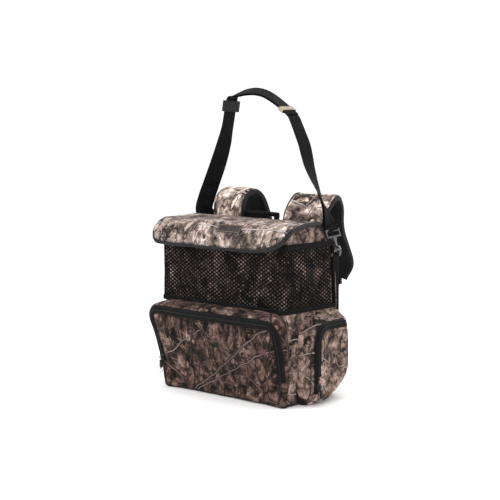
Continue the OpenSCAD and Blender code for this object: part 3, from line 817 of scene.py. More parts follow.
def lid_point(x, s, out=0.0):
    """x runs past the flat top and down the cheek; s runs from the ridge over the nose."""
    p, n = lid_at(s)
    px, depth, side = x, 0.0, n
    if abs(x) > LID_FLAT_HALF:
        over = abs(x) - LID_FLAT_HALF
        phi = min(over / BEND, pi / 2)
        px = math.copysign(LID_FLAT_HALF + BEND * sin(phi), x)
        depth = BEND * (1 - cos(phi)) + max(0, over - BEND * pi / 2)
        side = Vector((math.copysign(sin(phi), x), 0, 0)) + n * cos(phi)
    sag = 2.6 * sin(pi * clamp(s / LID_FLAT)) * (1 - (px / LID_HALF) ** 2)
    crease = 1.5 * ripple(px, p.y * 1.6, p.z * 1.6, 52, 4) + 0.8 * ripple(px, p.y, p.z, 21, 9)
    crease *= ease(s / 20)
    droop = ease((-px - 70) / 110) * ease((s - 30) / 60)
    px += 6 * ease((px - 60) / 100)
    place = p + Vector((px - 5 * droop, -6 * droop, -1.5 * droop)) - n * (depth + sag) + side * (out + crease)
    return place, side


def make_lid():
    nx, nc, ns = 64, 9, 46  # points across the flat, down each cheek and along the lid
    flat = LID_FLAT_HALF
    rows, norms = [], []
    for i in range(ns + 1):
        row, nrow = [], []
        for j in range(-nc, nx + nc + 1):
            if 0 <= j <= nx:
                x = -flat + 2 * flat * j / nx
                s = lid_run(x) * i / ns
            else:
                k = -j if j < 0 else j - nx
                reach = flat + BEND * k / nc
                way = -1 if j < 0 else 1
                s = lid_run(way * min(reach, LID_HALF)) * i / ns
                d = lid_depth(s, way)
                total = BEND * math.acos(1 - d / BEND) if d < BEND else BEND * pi / 2 + d - BEND
                x = way * (flat + total * k / nc)
            p, n = lid_point(x, s)
            row.append(p)
            nrow.append(n)
        rows.append(row)
        norms.append(nrow)
    soup = Soup()
    soup.grid(rows, uvs=lambda i, j: (j * 0.0055, i * 0.004))
    lid = soup.piece("lid_cloth", CAMO_LID, "lid", ["lid_flap"], "camo_lid")
    thicken(lid, 3.6, -1, LINING)
    soften(lid)

    w = len(rows[0])
    edge = [(i, w - 1) for i in range(ns)] + [(ns, j) for j in range(w - 1, -1, -1)] + \
           [(i, 0) for i in range(ns - 1, -1, -1)]
    pts, ins, outs = [], [], []
    for i, j in edge:
        a = rows[i][j]
        ji = j + (1 if j == 0 else -1 if j == w - 1 else 0)
        ii = i - 1 if i == ns else i
        pts.append(a)
        ins.append((rows[ii][ji] - a).normalized())
        outs.append(norms[i][j])
    keep = [0]
    for k in range(1, len(pts)):
        if (pts[k] - pts[keep[-1]]).length > 2.2:
            keep.append(k)
    pts, ins, outs = ([v[k] for k in keep] for v in (pts, ins, outs))
    ins = [sum(ins[max(0, k - 2):k + 3], Vector()).normalized() for k in range(len(ins))]
    soup = Soup()
    mid = [p + a * 2.6 - n * 1.5 for p, a, n in zip(pts, ins, outs)]
    mid = [sum(mid[max(0, k - 1):k + 2], Vector()) / len(mid[max(0, k - 1):k + 2]) for k in range(len(mid))]
    cord_along(soup, mid, n=14, squash=lambda k: (ins[k], 5.4, 3.1 + 0.25 * ripple(k, 0, 0, 4)))
    soup.piece("lid_piping", BINDING, "lid", ["lid_binding"], "binding")
    line = [p + a * 10 + n * 0.1 for p, a, n in zip(pts, ins, outs)]
    sew("lid_stitches", THREAD, "lid", "binding",
        [(line, lambda t, _: outs[min(len(outs) - 1, int(t * len(outs)))])], lift=0.3)

    lo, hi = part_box("lid_label")
    x0, x1 = lo.x / MM, hi.x / MM
    s0, s1 = (LID_FLAT + NOSE_R * rad(a - 90) for a in (124, 156))
    rows = [[lid_point(x0 + (x1 - x0) * j / 20, s0 + (s1 - s0) * i / 8, 0.9)[0] for j in range(21)]
            for i in range(9)]
    soup = Soup()
    soup.grid(rows, uvs=lambda i, j: (j * 0.0032, i * 0.0025))
    thicken(soup.piece("lid_tab", LABEL, "lid", ["lid_label"], "label"), 0.9)
    rim = [(x0 + 2.5, s0 + 2), (x1 - 2.5, s0 + 2), (x1 - 2.5, s1 - 2), (x0 + 2.5, s1 - 2), (x0 + 2.5, s0 + 2)]
    sides = [[lid_point(xa + (xb - xa) * k / 8, sa + (sb - sa) * k / 8, 0.95)[0] for k in range(9)]
             for (xa, sa), (xb, sb) in zip(rim, rim[1:])]
    sew("label_stitches", TAN_THREAD, "lid", "label",
        [(line, lambda *_: Vector((0, -0.8, 0.5))) for line in sides], long=2.4, skip=0.8, r=0.55)

    sheet("hook_tape", [[Vector((-59 + 118 * j / 24, NOSE_Y + 29.8 * cos(rad(a)), NOSE_Z + 29.8 * sin(rad(a))))
                         for j in range(25)] for a in range(149, 184, 3)], HOOKS, "lid", "hook_patch", 1.4, 1)
    sheet("loop_tape", [[Vector((-59 + 118 * j / 24, -85.0 + 0.3 * ripple(j, i, 0, 3), 331 + 20 * i / 6))
                         for j in range(25)] for i in range(7)], LOOPS, "bag", "loop_patch", 1.4)


# ---- zipped faces

class Wall:
    """A zipped wall: point(a, b, n) puts a flat position and a height on the wall in space."""

    def __init__(self, point):
        self.point = point

    def out(self, a, b):
        u = self.point(a + 1, b) - self.point(a - 1, b)
        v = self.point(a, b + 1) - self.point(a, b - 1)
        n = u.cross(v).normalized()
        want = self.point(a, b, 5) - self.point(a, b, 0)
        return n if n.dot(want) > 0 else -n


def flat_steps(line, step):
    """Even steps along a flat line: position, and the way to its outer side."""
    pts = even([Vector((a, b, 0)) for a, b in line], step)
    out = []
    for i, p in enumerate(pts):
        d = heading(pts, i)
        out.append((p.x, p.y, -d.y, d.x))
    return out


def tape_strip(soup, wall, line, offsets):
    """Zip tape along a flat line; offsets are (sideways, height) pairs."""
    rows = []
    for a, b, na, nb in flat_steps(line, 3.2):
        row = []
        for side, high in offsets:
            p = wall.point(a + na * side, b + nb * side)
            row.append(p + wall.out(a, b) * (high + 0.25 * ripple(p.x, p.y, p.z, 14, side)))
        rows.append(row)
    soup.grid(rows, uvs=lambda i, j: (j * 0.0022, i * 0.0032))


def teeth(soup, wall, line, side, phase):
    for k, (a, b, na, nb) in enumerate(flat_steps(line, 1.25)):
        if k % 2 != phase:
            continue
        p = wall.point(a + na * side, b + nb * side)
        n = wall.out(a, b)
        across = (wall.point(a + na, b + nb) - wall.point(a - na, b - nb)).normalized()
        along = n.cross(across)
        soup.brick(p + n * 1.5, along * 0.8, across * 1.7, n * 0.85, 1, 0.55)


def zip_halves(name, wall, line, cut, tail, flap, fixed_node, moving_node):
    """line is the coil's path, its left side inside. The inner half rides on the flap, but for the
    first cut mm and the last tail mm."""
    lengths = [Vector((b[0] - a[0], b[1] - a[1])).length for a, b in zip(line, line[1:])]
    total = sum(lengths)

    def part(low, high):
        out, run = [], 0.0
        for (a, b), d in zip(zip(line, line[1:]), lengths):
            for t in ((low - run) / d, (high - run) / d):
                if 0 <= t <= 1:
                    out.append((a[0] + (b[0] - a[0]) * t, a[1] + (b[1] - a[1]) * t))
            run += d
            if low < run < high:
                out.append(b)
        clean = [out[0]]
        for p in out[1:]:
            if abs(p[0] - clean[-1][0]) + abs(p[1] - clean[-1][1]) > 0.01:
                clean.append(p)
        return clean

    outer = ((-9.0, -0.4), (-8.4, 1.0), (-5.4, 1.7), (-2.9, 2.3), (-1.9, 1.3))
    inner = ((1.9, 1.3), (2.9, 2.3), (5.0, 1.7), (7.6, 1.0), (8.2, -0.4))
    soup = Soup()

    def inner_half(bit):
        tape_strip(soup, wall, bit, inner)
        teeth(soup, wall, bit, 0.75, 1)

    tape_strip(soup, wall, line, outer)
    teeth(soup, wall, line, -0.75, 0)
    for low, high in ((0, cut), (total - tail, total)):
        if high - low > 3:
            inner_half(part(low, high))
    thicken(soup.piece(name + "_zip_fixed", [ZIP_TAPE, COIL], "bag", [fixed_node], "black_fabric"), 0.8)
    soup = Soup()
    inner_half(part(cut + 0.6, total - tail - (0.6 if tail else 0)))
    thicken(soup.piece(name + "_zip_moving", [ZIP_TAPE, COIL], flap, [moving_node], "black_fabric"), 0.8)


def cut_wall(wall, a_range, b_range, step, cuts, held, grow, cap):
    """One grid over the whole wall, cut cleanly on given lines and let settle as cloth. Returns its
    points, their flat places and its faces, for wall_part to take pieces from."""
    bm = bmesh.new()
    (a0, a1), (b0, b1) = a_range, b_range
    na, nb = round((a1 - a0) / step), round((b1 - b0) / step)
    vs = [[bm.verts.new((a0 + (a1 - a0) * i / na, b0 + (b1 - b0) * j / nb, 0)) for i in range(na + 1)]
          for j in range(nb + 1)]
    for j in range(nb):
        for i in range(na):
            bm.faces.new((vs[j][i], vs[j][i + 1], vs[j + 1][i + 1], vs[j + 1][i]))
    for co, no in cuts:
        bmesh.ops.bisect_plane(bm, geom=bm.verts[:] + bm.edges[:] + bm.faces[:], dist=0.05,
                               plane_co=(*co, 0), plane_no=(*no, 0))
    flat = [v.co.copy() for v in bm.verts]
    bm.verts.index_update()
    faces = [[v.index for v in f.verts] for f in bm.faces]
    bm.free()
    soup = Soup()
    for p in flat:
        soup.add(wall.point(p.x, p.y), (p.x * MM, p.y * MM))
    for f in faces:
        soup.face(f)
    ob = soup.piece("wall_to_settle", CAMO_BODY, None)
    crumple(ob, [(i, clamp(held(p.x, p.y), 0.03)) for i, p in enumerate(flat)], grow, 16, cap)
    soup.points = [v.co / MM for v in ob.data.vertices]
    me = ob.data
    bpy.data.objects.remove(ob)
    bpy.data.meshes.remove(me)
    return soup, flat, faces


def wall_part(name, settled, keep, mat, body, nodes=()):
    """The faces of a settled wall that keep(a, b) picks, as one lined piece."""
    whole, flat, faces = settled
    soup, ids = Soup(), {}
    for f in faces:
        a = sum(flat[i].x for i in f) / len(f)
        b = sum(flat[i].y for i in f) / len(f)
        if not keep(a, b):
            continue
        for i in f:
            if i not in ids:
                ids[i] = soup.add(whole.points[i], whole.flat[i])
        soup.face([ids[i] for i in f])
    thicken(soup.piece(name, mat, body, nodes, "camo_body"), 2.0, -1, LINING)


def band_round(soup, wall, outline, root, lip=5.4):
    """The pocket's side band: from a lip on the face, over its edge and back to the bag."""
    grid = []
    for a, b, na, nb in flat_steps(outline, 4.0):
        front = wall.point(a, b, -2.0)
        back = root(a, b, front)
        side = (wall.point(a + na * 20, b + nb * 20) - wall.point(a + na * 26, b + nb * 26)).normalized()
        row = [wall.point(a + na * k, b + nb * k, h)
               for k, h in ((lip, 0.2), (3.6, 0.1), (2.2, 0.0), (1.2, 0.0), (0.5, 0.0), (0.1, 0.0))] + [front]
        for t, swell in ((0.3, 1.0), (0.65, 1.2), (1.0, 0.0)):
            p = front.lerp(back, t)
            puff = swell * (1.2 + 1.6 * ripple(p.x, p.y, p.z, 30, 2))
            row.append(p + side * puff)
        grid.append(row)
    soup.grid(grid, uvs=lambda i, j: (j * 0.006, i * 0.004))


# ---- front pocket

LEAN = rad(14.036)
FACE_V, FACE_N = Vector((0, -sin(LEAN), cos(LEAN))), Vector((0, -cos(LEAN), -sin(LEAN)))
FACE_0, FACE_HALF, FACE_LEN, FACE_R, FOLD_V = Vector((0, -97, 52)), 180, 136.06, 34, 24.2


def rounded_dist(x, y, half, top, r):
    qx, qy = abs(x) - (half - r), y - (top - r)
    if qx > 0 and qy > 0:
        return r - math.hypot(qx, qy)
    return min(half - abs(x), top - y)


def front_dist(a, v):
    return rounded_dist(a, v, FACE_HALF, FACE_LEN, FACE_R)


def rounding(d, reach, depth):
    """How far the cloth falls away at distance d from a rounded edge."""
    t = clamp((reach - d) / reach)
    return depth * (1 - math.sqrt(1 - t * t))


def front_wide(a, v):
    """The stuffed pocket widens from foot to top, most of all on its left."""
    marks = ((-53, 0.965), (68, 1.035), (200, 1.035)) if a > 0 else (
        (-53, 0.905), (-29, 0.962), (0, 1.012), (30, 1.04), (75, 1.062), (200, 1.066))
    for (v0, k0), (v1, k1) in zip(marks, marks[1:]):
        if v <= v1:
            return k0 + (k1 - k0) * clamp((v - v0) / (v1 - v0))
    return marks[-1][1]


def front_point(a, v, n=0.0):
    u = clamp(abs(a) / FACE_HALF)
    n -= rounding(front_dist(a, v), 17, 13)
    n += 6.0 * sin(pi * clamp((v - FOLD_V) / 108)) * (1 - u ** 3) + 4 * ease((v - 50) / 70)
    n += 1.6 * ripple(a, v, 0, 70, 6) + 0.7 * ripple(a, v, 0, 25, 2)
    a *= front_wide(a, v)
    if v >= 0:
        return FACE_0 + Vector((a, 0, 0)) + FACE_V * v + FACE_N * n
    z = 52 + v
    y = -97 - v / 52 * (6 - 14 * u ** 3) + (6 - math.sqrt(max(0, 36 - max(0, 6 - z) ** 2)))
    return Vector((a, y - n * 0.9, max(0.6, z)))


FRONT = Wall(front_point)


def arc(cx, cy, r, a0, a1, n=7):
    return [(cx + r * cos(rad(a0 + (a1 - a0) * i / n)), cy + r * sin(rad(a0 + (a1 - a0) * i / n)))
            for i in range(n + 1)]


def make_front_pocket():
    half, top = FACE_HALF, FACE_LEN
    outline = [(half, -52), (half, 0)] + arc(half - FACE_R, top - FACE_R, FACE_R, 0, 90) + \
        arc(-half + FACE_R, top - FACE_R, FACE_R, 90, 180) + [(-half, 0), (-half, -52)]

    def root(a, v, front):
        z = front.z + (6.5 * clamp(v / FACE_LEN) ** 2 if v > 0 else 0)
        return Vector((a * (0.925 + 0.04 * clamp(v / 80)), -HY + 0.5, z))

    soup = Soup()
    band_round(soup, FRONT, outline, root, lip=9)
    soup.grid([[Vector((a, y, 0.7 + (0.4 if y < -90 else 0))) for a in range(-166, 167, 12)]
               for y in (-86, -91.5)])
    shell = soup.piece("front_pocket_shell", CAMO_POCKET, "bag", ["front_gusset"], "camo_body")
    thicken(shell, 2.0, -1, LINING)
    soften(shell)

    def held(a, v):
        d = front_dist(a, v)
        if v > 4 and d < (28 if a < -100 else 23) or v < -46 or d < 5:
            return 1.0
        return 0.04

    settled = cut_wall(FRONT, (-half, half), (-52, 122), 4.0, [((0, FOLD_V), (0, 1))], held, 0.026, 6.0)
    wall_part("front_pocket_base", settled, lambda a, v: v < FOLD_V, CAMO_POCKET, "bag")
    wall_part("front_pocket_panel", settled,
              lambda a, v: v > FOLD_V and front_dist(a, v) > (19 if a < -100 else 16.5),
              CAMO_POCKET, "front_flap", ["front_panel"])
    x, r = half - 12, FACE_R - 12
    line = [(x, 4), (x, top - 12 - r)] + arc(x - r, top - 12 - r, r, 0, 90)[1:] + \
        arc(-x + r, top - 12 - r, r, 90, 180)
    line += [(-x / (1 + (front_wide(-x, v) - 1) * ease((100 - v) / 40)), v) for v in range(90, 3, -10)]
    line += [(-162, 4)]
    zip_halves("front", FRONT, line, 20.2, 20.2, "front_flap", "front_zip_outer", "front_zip_inner")
    inner = [(x - 10, 27), (x - 10, top - 12 - r)] + arc(x - r, top - 12 - r, r - 10, 0, 90)[1:] + \
        arc(-x + r, top - 12 - r, r - 10, 90, 180) + [(-x + 10, 27)]
    sew("front_flap_stitches", THREAD, "front_flap", "black_fabric",
        [([front_point(a, b, 1.0) for a, b, *_ in flat_steps(inner, 6)], lambda *_: FACE_N)], lift=0.9)
    soup = Soup()
    for s in (-1, 1):
        cord_along(soup, [front_point(s * 168, v, 0.9) for v in range(3, -50, -6)], 1.5, n=8)
    soup.piece("front_seams", BINDING, "bag", slot="black_fabric")


# ---- side pockets

SIDE_LEAN, SIDE_LEN, SIDE_TOP, SIDE_R = math.atan(22 / 126), 126, 172, 46
FOLD_LOW = {"left": 88, "right": 52}


def make_side_pocket(which):
    sign = -1 if which == "left" else 1
    low = Vector((-SIDE_LEN + 5, FOLD_LOW[which], 0))
    fold = (Vector((-5, SIDE_TOP - 9, 0)) - low).normalized()
    square = Vector((-fold.y, fold.x, 0))
    seed = 11 if which == "left" else 5

    def dist(a, z):
        qa, qz = -SIDE_LEN + SIDE_R - a, z - (SIDE_TOP - SIDE_R)
        if qa > 0 and qz > 0:
            return SIDE_R - math.hypot(qa, qz)
        return min(a + SIDE_LEN, SIDE_TOP - z, -a + 3)

    def above(a, z):
        return (Vector((a, z, 0)) - low).dot(square)

    def point(a, z, n=0.0):
        n += 1.6 - rounding(min(dist(a, z), a + SIDE_LEN, SIDE_TOP - z), 23, 16)
        t = clamp((42 - z) / 42)
        n -= 27 * (1 - math.sqrt(1 - t * t * 0.98))
        q = above(a, z)
        rear = ease((a + 75) / 75)
        n += (9.5 if q < 0 else 3.5) * clamp((a + SIDE_LEN - 15) / 50) * sin(pi * clamp(z / 158)) * (
            1 - math.exp(-(q / 22) ** 2)) * (1 - rear)
        n += 1.5 * ripple(a, z, 0, 48, seed) + 0.7 * ripple(a, z * 2.0, 0, 24, seed + 2)
        edge = 168 + 34 * (1 - (1 - min(z, 100) / 100) ** 2.6) - 8 * (max(0, z - 100) / 70) ** 2
        x = HX + 25 + n * cos(SIDE_LEAN) - a * sin(SIDE_LEAN) + (edge - HX - 25) * rear
        y = 81 + n * sin(SIDE_LEAN) + a * cos(SIDE_LEAN) + 3 * rear
        return Vector((sign * max(x, HX + 0.5), y, max(0.6, z) + rear_lift(y, z)))

    wall = Wall(point)
    turn = (-SIDE_LEN + SIDE_R, SIDE_TOP - SIDE_R)
    outline = [(0, 0), (0, SIDE_TOP - 3), (-3, SIDE_TOP)] + arc(*turn, SIDE_R, 90, 180) + \
        [(-SIDE_LEN, 10), (-SIDE_LEN + 6, 0), (0, 0)]

    def root(a, z, front):
        reach = (abs(front.x) - HX) / cos(SIDE_LEAN)
        up = 15 * clamp(z / SIDE_TOP) ** 2
        return Vector((sign * (HX + 0.2), min(front.y - reach * sin(SIDE_LEAN), 84), front.z + up))

    soup = Soup()
    band_round(soup, wall, outline, root)
    shell = soup.piece("side_pocket_shell_" + which, CAMO_SIDE, "bag", ["side_gusset_" + which], "camo_body")
    thicken(shell, 2.0, -1, LINING)
    soften(shell)

    def held(a, z):
        d = min(dist(a, z), a + SIDE_LEN)
        if (above(a, z) > -6 or a < -100) and d < 23 or d < 4 or z < 4:
            return 1.0
        return 0.05

    settled = cut_wall(wall, (-SIDE_LEN, 0), (2, SIDE_TOP), 3.5, [((low.x, low.y), (square.x, square.y))],
                       held, 0.022, 5.0)
    wall_part("side_pocket_wall_" + which, settled,
              lambda a, z: dist(a, z) > 2.5 and not (above(a, z) > 0 and dist(a, z) > 9),
              CAMO_SIDE, "bag")
    wall_part("side_pocket_panel_" + which, settled, lambda a, z: above(a, z) > 0 and dist(a, z) > 17,
              CAMO_SIDE, "side_flap_" + which, ["side_panel_" + which])
    line = [(-13, SIDE_TOP - 13)] + arc(*turn, SIDE_R - 13, 90, 180, 9) + [(-SIDE_LEN + 13, 26)]
    zip_halves("side_" + which, wall, line, 0, FOLD_LOW[which] - 18, "side_flap_" + which,
               "side_zip_outer_" + which, "side_zip_inner_" + which)
    soup = Soup()
    cord_along(soup, [point(-SIDE_LEN + 1, z, -1.2) for z in range(12, 124, 8)], 1.2, n=8)
    soup.piece("side_seam_" + which, BINDING, "bag", slot="black_fabric")


# ---- carry strap

# centre line of the webbing, and at each point how far it is turned in plan and tipped, degrees
ROUTE = [(-182, 60, 356), (-190, 52, 374), (-179, 49, 402), (-162, 50, 440), (-146, 52, 478),
         (-132, 55, 520), (-122, 57, 560), (-111, 60, 619), (-100, 62, 627), (-82, 64, 631),
         (-58, 66, 634), (-33, 68, 631.5), (-9, 70, 623), (20, 72, 606), (52, 72, 585),
         (63, 72, 568), (74, 71, 548), (87, 69, 524), (97, 66, 500), (107, 62, 478),
         (122, 56, 455), (138, 52, 431), (150, 53, 407), (156, 59, 384), (158, 68, 358)]
TURN = [34, 42, 40, 36, 30, 16, 0, 0, 0, 0, 0, 0, 0, 0, 0, 0, 2, 3, 0, -7, -18, -30, -38, -22, 0]
TIP = [0, 0, 0, 0, 0, 0, 0, 8, 18, 24, 22, 14, 5, 0, 0, 0, 0, 0, 0, 0, 0, 0, 0, 0, 0]


def route_part(first, last):
    pts = spline(ROUTE[first:last + 1])
    turns = spline([(t, u, 0) for t, u in zip(TURN[first:last + 1], TIP[first:last + 1])])
    return pts, lambda i: Vector((sin(rad(turns[i].x)), cos(rad(turns[i].x)), math.tan(rad(turns[i].y))))


def make_carry_strap():
    soup = Soup()
    pts, across = route_part(0, len(ROUTE) - 1)
    strap(soup, pts, across, 38, 2.2, n=16, wave=0.5)
    bars = ((Vector((-181.0, 64.8, 349.4)), pts[:26], across, 1),
            (Vector((161.1, 69.1, 347.8)), pts[::-1][:26], lambda i: across(len(pts) - 1 - i), -1))
    for bar, line, cross_of, way in bars:
        d = (line[1] - line[0]).normalized()
        a = cross_of(0)
        a = (a - d * a.dot(d)).normalized()
        out = d.cross(a) * way
        bar = bar + d
        loop = [line[0]] + [bar + out * (3.6 * cos(rad(t))) - d * (3.6 * sin(rad(t)))
                            for t in range(-20, 201, 20)]
        back = [p - out * 3.0 * ease(1.4 - 0.02 * k) for k, p in enumerate(line[2:17])]
        strap(soup, spline(loop + back[1:], 2),
              lambda i: a if i < 26 else cross_of(min(len(line) - 1, (i - 22) // 2)), 37.6, 1.9, n=14)
    soup.piece("carry_strap_band", WEBBING, "carry_strap", ["carry_webbing"], "black_fabric")

    soup = Soup()
    pts, across = route_part(8, 14)
    strap(soup, pts, across, 37, 2.1, lift=lambda s: 2.7 + 0.9 * sin(pi * s), n=16, wave=0.4)
    soup.piece("carry_strap_tail", WEBBING, "carry_strap", ["carry_tail"], "black_fabric")

    soup = Soup()
    lo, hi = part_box("tail_keeper")
    mid = (lo + hi) / 2 / MM
    lean = rad(33.3)
    ex, ez = Vector((cos(lean), 0, -sin(lean))), Vector((sin(lean), 0, cos(lean)))
    loop = []
    for k in range(41):
        a = 2 * pi * k / 40
        loop.append(mid + Vector((0, 21.4 * toward(cos(a), 0.3), 0)) + ez * (4.2 * toward(sin(a), 0.5)))
    strap(soup, loop, ex, 13.5, 1.5, n=12)
    soup.piece("tail_loop", TAN, "carry_strap", ["tail_keeper"], "tan_tape")
    sew("tail_loop_stitches", TAN_THREAD, "carry_strap", "tan_tape",
        [([p + ex * x + ez * 0.9 for p in loop[3:18]], lambda *_: ez) for x in (-4.6, 4.6)],
        long=2.2, skip=1.3, lift=0.3)

    for which, s in (("left", -1), ("right", 1)):
        soup = Soup()
        path = [(166.6, 262), (166.7, 276), (166.9, 288), (167.2, 296), (168, 299.2), (170.4, 300), (173, 298.4),
                (173.6, 295), (171.6, 290.5), (169, 284), (168.6, 274), (168.6, 262)]
        line = spline([(s * x, 72, z) for x, z in path], 4)
        strap(soup, line, (0, 1, 0), 15.5, 1.5, n=12)
        for z in (264.5, 270, 281.5):
            row = [Vector((s * (HX + 4.5), y, z)) for y in range(66, 79)]
            stitches(soup, row, lambda t, p: Vector((s, 0, 0)), 2.0, 0.8, 0.4, 0.5)
        soup.piece("ring_loop_" + which, WEBBING, "bag", ["ring_tab_" + which], "black_fabric")


# ---- harness

# centre of each strap: x, y, z, and how far its width is turned in plan, degrees
SHOULDER_LEFT = [(-92, 33, 346, 0), (-92, 27, 366, 0), (-91, 26, 386, 0), (-90, 31, 405, 0), (-90, 44, 418, 0),
                 (-89, 61, 423, 0), (-88, 79, 419, 0), (-87, 94, 406, 0), (-87, 106, 388, 0), (-86, 116, 364, 0),
                 (-86, 128, 335, 0), (-87, 148, 303, 0), (-88, 168, 270, 0), (-87, 178, 237, 0)]
SHOULDER_RIGHT = [(98, 50, 345, 34), (99, 54, 370, 38), (102, 60, 386, 38), (104, 68, 398, 38),
                  (105, 78, 407, 35), (104, 91, 413.5, 30), (100, 107, 414, 25), (95, 124, 405, 20),
                  (91, 138, 386, 16), (88, 145, 360, 12), (88, 153, 333, 9), (91, 166, 303, 6),
                  (94, 178, 275, 3), (93, 182, 256, 1), (89, 178, 236, 0)]
# lower webbing, from its turn in the ladder lock to the anchor: y, z
LOWER = [(170.6, 214), (171.4, 222), (174.6, 227.5), (178.2, 224), (176, 216), (172, 196), (164, 160),
         (150, 116), (128, 72), (104, 36)]
STRAP_X, STRAP_W = 86, 85


def make_shoulder(which):
    s = -1 if which == "left" else 1
    body = "shoulder_strap_" + which
    marks = SHOULDER_LEFT if s < 0 else SHOULDER_RIGHT
    line = spline([mark[:3] for mark in marks], 5)
    turned = [v.x for v in spline([(mark[3], 0, 0) for mark in marks], 5)]
    m = len(line) - 1

    def wide(t):
        return STRAP_W - 5 * ease((t - 0.4) / 0.3) - 18 * ease((t - 0.86) / 0.14)

    def side(i):
        d = heading(line, i)
        a = Vector((cos(rad(turned[i])), sin(rad(turned[i])), 0))
        return (a - d * a.dot(d)).normalized()

    def back(i):
        return heading(line, i).cross(side(i))

    def hanging(*places, per=4):
        """A line straight behind the strap's lower end, through (y, z) places."""
        return spline([(s * STRAP_X, y, z) for y, z in places], per)

    soup = Soup()
    strap(soup, line, side, lambda t: wide(t) - 3, 3.4, lift=-1.4, n=22, crown=-2.4, wave=1.1)
    soup.piece("shoulder_cover_cloth_" + which, CAMO_STRAP, body, ["shoulder_cover_" + which], "strap_camo")
    soup = Soup()
    strap(soup, line, side, lambda t: wide(t) - 4, lambda t: 9.5 - 3 * ease((t - 0.85) / 0.15), lift=5.0,
          n=22, crown=1.6, wave=1.2)
    pad = soup.piece("shoulder_mesh_pad_" + which, AIRMESH, body, ["shoulder_pad_" + which], "black_fabric")
    soup = Soup()
    for e in (-1, 1):
        rim = [p + side(i) * e * (wide(i / m) / 2 - 2.2) + back(i) * 3.0 for i, p in enumerate(line)]
        cord_along(soup, rim, n=12, squash=lambda i: (side(i), 3.2, 5.6 - 1.2 * ease((i / m - 0.8) / 0.2)))
    end, d = line[-1], heading(line, m)
    rim = [end + Vector((x, 0, 0)) + d.cross(Vector((1, 0, 0))) * 3.2 - d * 1.5 for x in range(-24, 25, 4)]
    cord_along(soup, rim, n=12, squash=lambda i: (d, 3.0, 4.6))
    soup.piece("shoulder_binding_" + which, BINDING, body, slot="binding")
    rims = [[p + side(i) * e * (wide(i / m) / 2 - 7.5) - back(i) * 3.9 for i, p in enumerate(line)]
            for e in (-1, 1)]
    sew("shoulder_stitches_" + which, THREAD, body, "binding",
        [(rim, lambda t, _: -back(min(m, int(t * m)))) for rim in rims], lift=0.3)
    out = -d.cross(Vector((1, 0, 0)))
    sew("shoulder_bartack_" + which, TAN_THREAD, body, "tan_tape",
        [([end + Vector((x, 0, 0)) - d * inset + out * 4.3 for x in range(-20, 21, 2)], lambda *_: out)
         for inset in (5.0, 9.0)], skip=1.2, r=0.55, lift=0.4)
    soup = Soup()
    strap(soup, hanging((177.5, 252), (177.2, 242), (176, 237), (173.2, 234.6), (171.0, 237.5), (172.2, 246)),
          (1, 0, 0), 25, 1.8, n=12)
    soup.piece("lock_tab_" + which, WEBBING, body, slot="black_fabric")

    soup = Soup()
    strap(soup, hanging(*LOWER, per=6), (1, 0, 0), 24.6, 1.9, n=12, wave=0.5)
    ob = soup.piece("lower_strap_" + which, WEBBING, None, ["lower_webbing_" + which], "black_fabric")
    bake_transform(ob)
    soup = Soup()
    strap(soup, hanging((85.5, 19), (92, 22), (99, 28), (105, 36.5), (102.6, 38), (96.5, 32), (90, 29.5),
                        (85.5, 31)), (1, 0, 0), 29, 2.2, n=12)
    for z in (17, 24, 33):
        row = [Vector((s * STRAP_X + x, 86.6, z)) for x in range(-14, 15, 2)]
        stitches(soup, row, lambda t, p: Vector((0, 1, 0)), 2.4, 1.0, 0.4, 0.4)
    soup.piece("anchor_tab_" + which, WEBBING, "bag", ["strap_anchor_" + which], "black_fabric")


def make_haul():
    soup = Soup()
    rings = []
    for i in range(41):
        x = -48 + 96 * i / 40
        flat = ease((abs(x) - 33) / 12)
        z = 376 - 1.5 * flat + 1.2 * cos(pi * x / 96)
        ry, rz = 5.0 - 2.4 * flat, 5.0 + 1.4 * flat
        roll = 0.15 * sin(x * 0.9) * (1 - flat)
        rings.append([Vector((x, 33 + (ry + roll) * cos(2 * pi * k / 16), z + rz * sin(2 * pi * k / 16)))
                      for k in range(16)])
    soup.tube(rings)
    for s in (-1, 1):
        leg = [Vector((s * 42, 33 + 0.6 * sin(z), z)) for z in range(345, 378, 4)]
        strap(soup, leg, (1, 0, 0), 14, 4.4, n=14)
    seam = [Vector((x, 33 - 5.0, 375.4)) for x in range(-32, 33, 2)]
    stitches(soup, seam, lambda t, p: Vector((0, -1, 0)), 2.4, 1.4, 0.4, 0.3)
    soup.piece("haul_loop", WEBBING, "haul_handle", ["haul_handle"], "black_fabric")


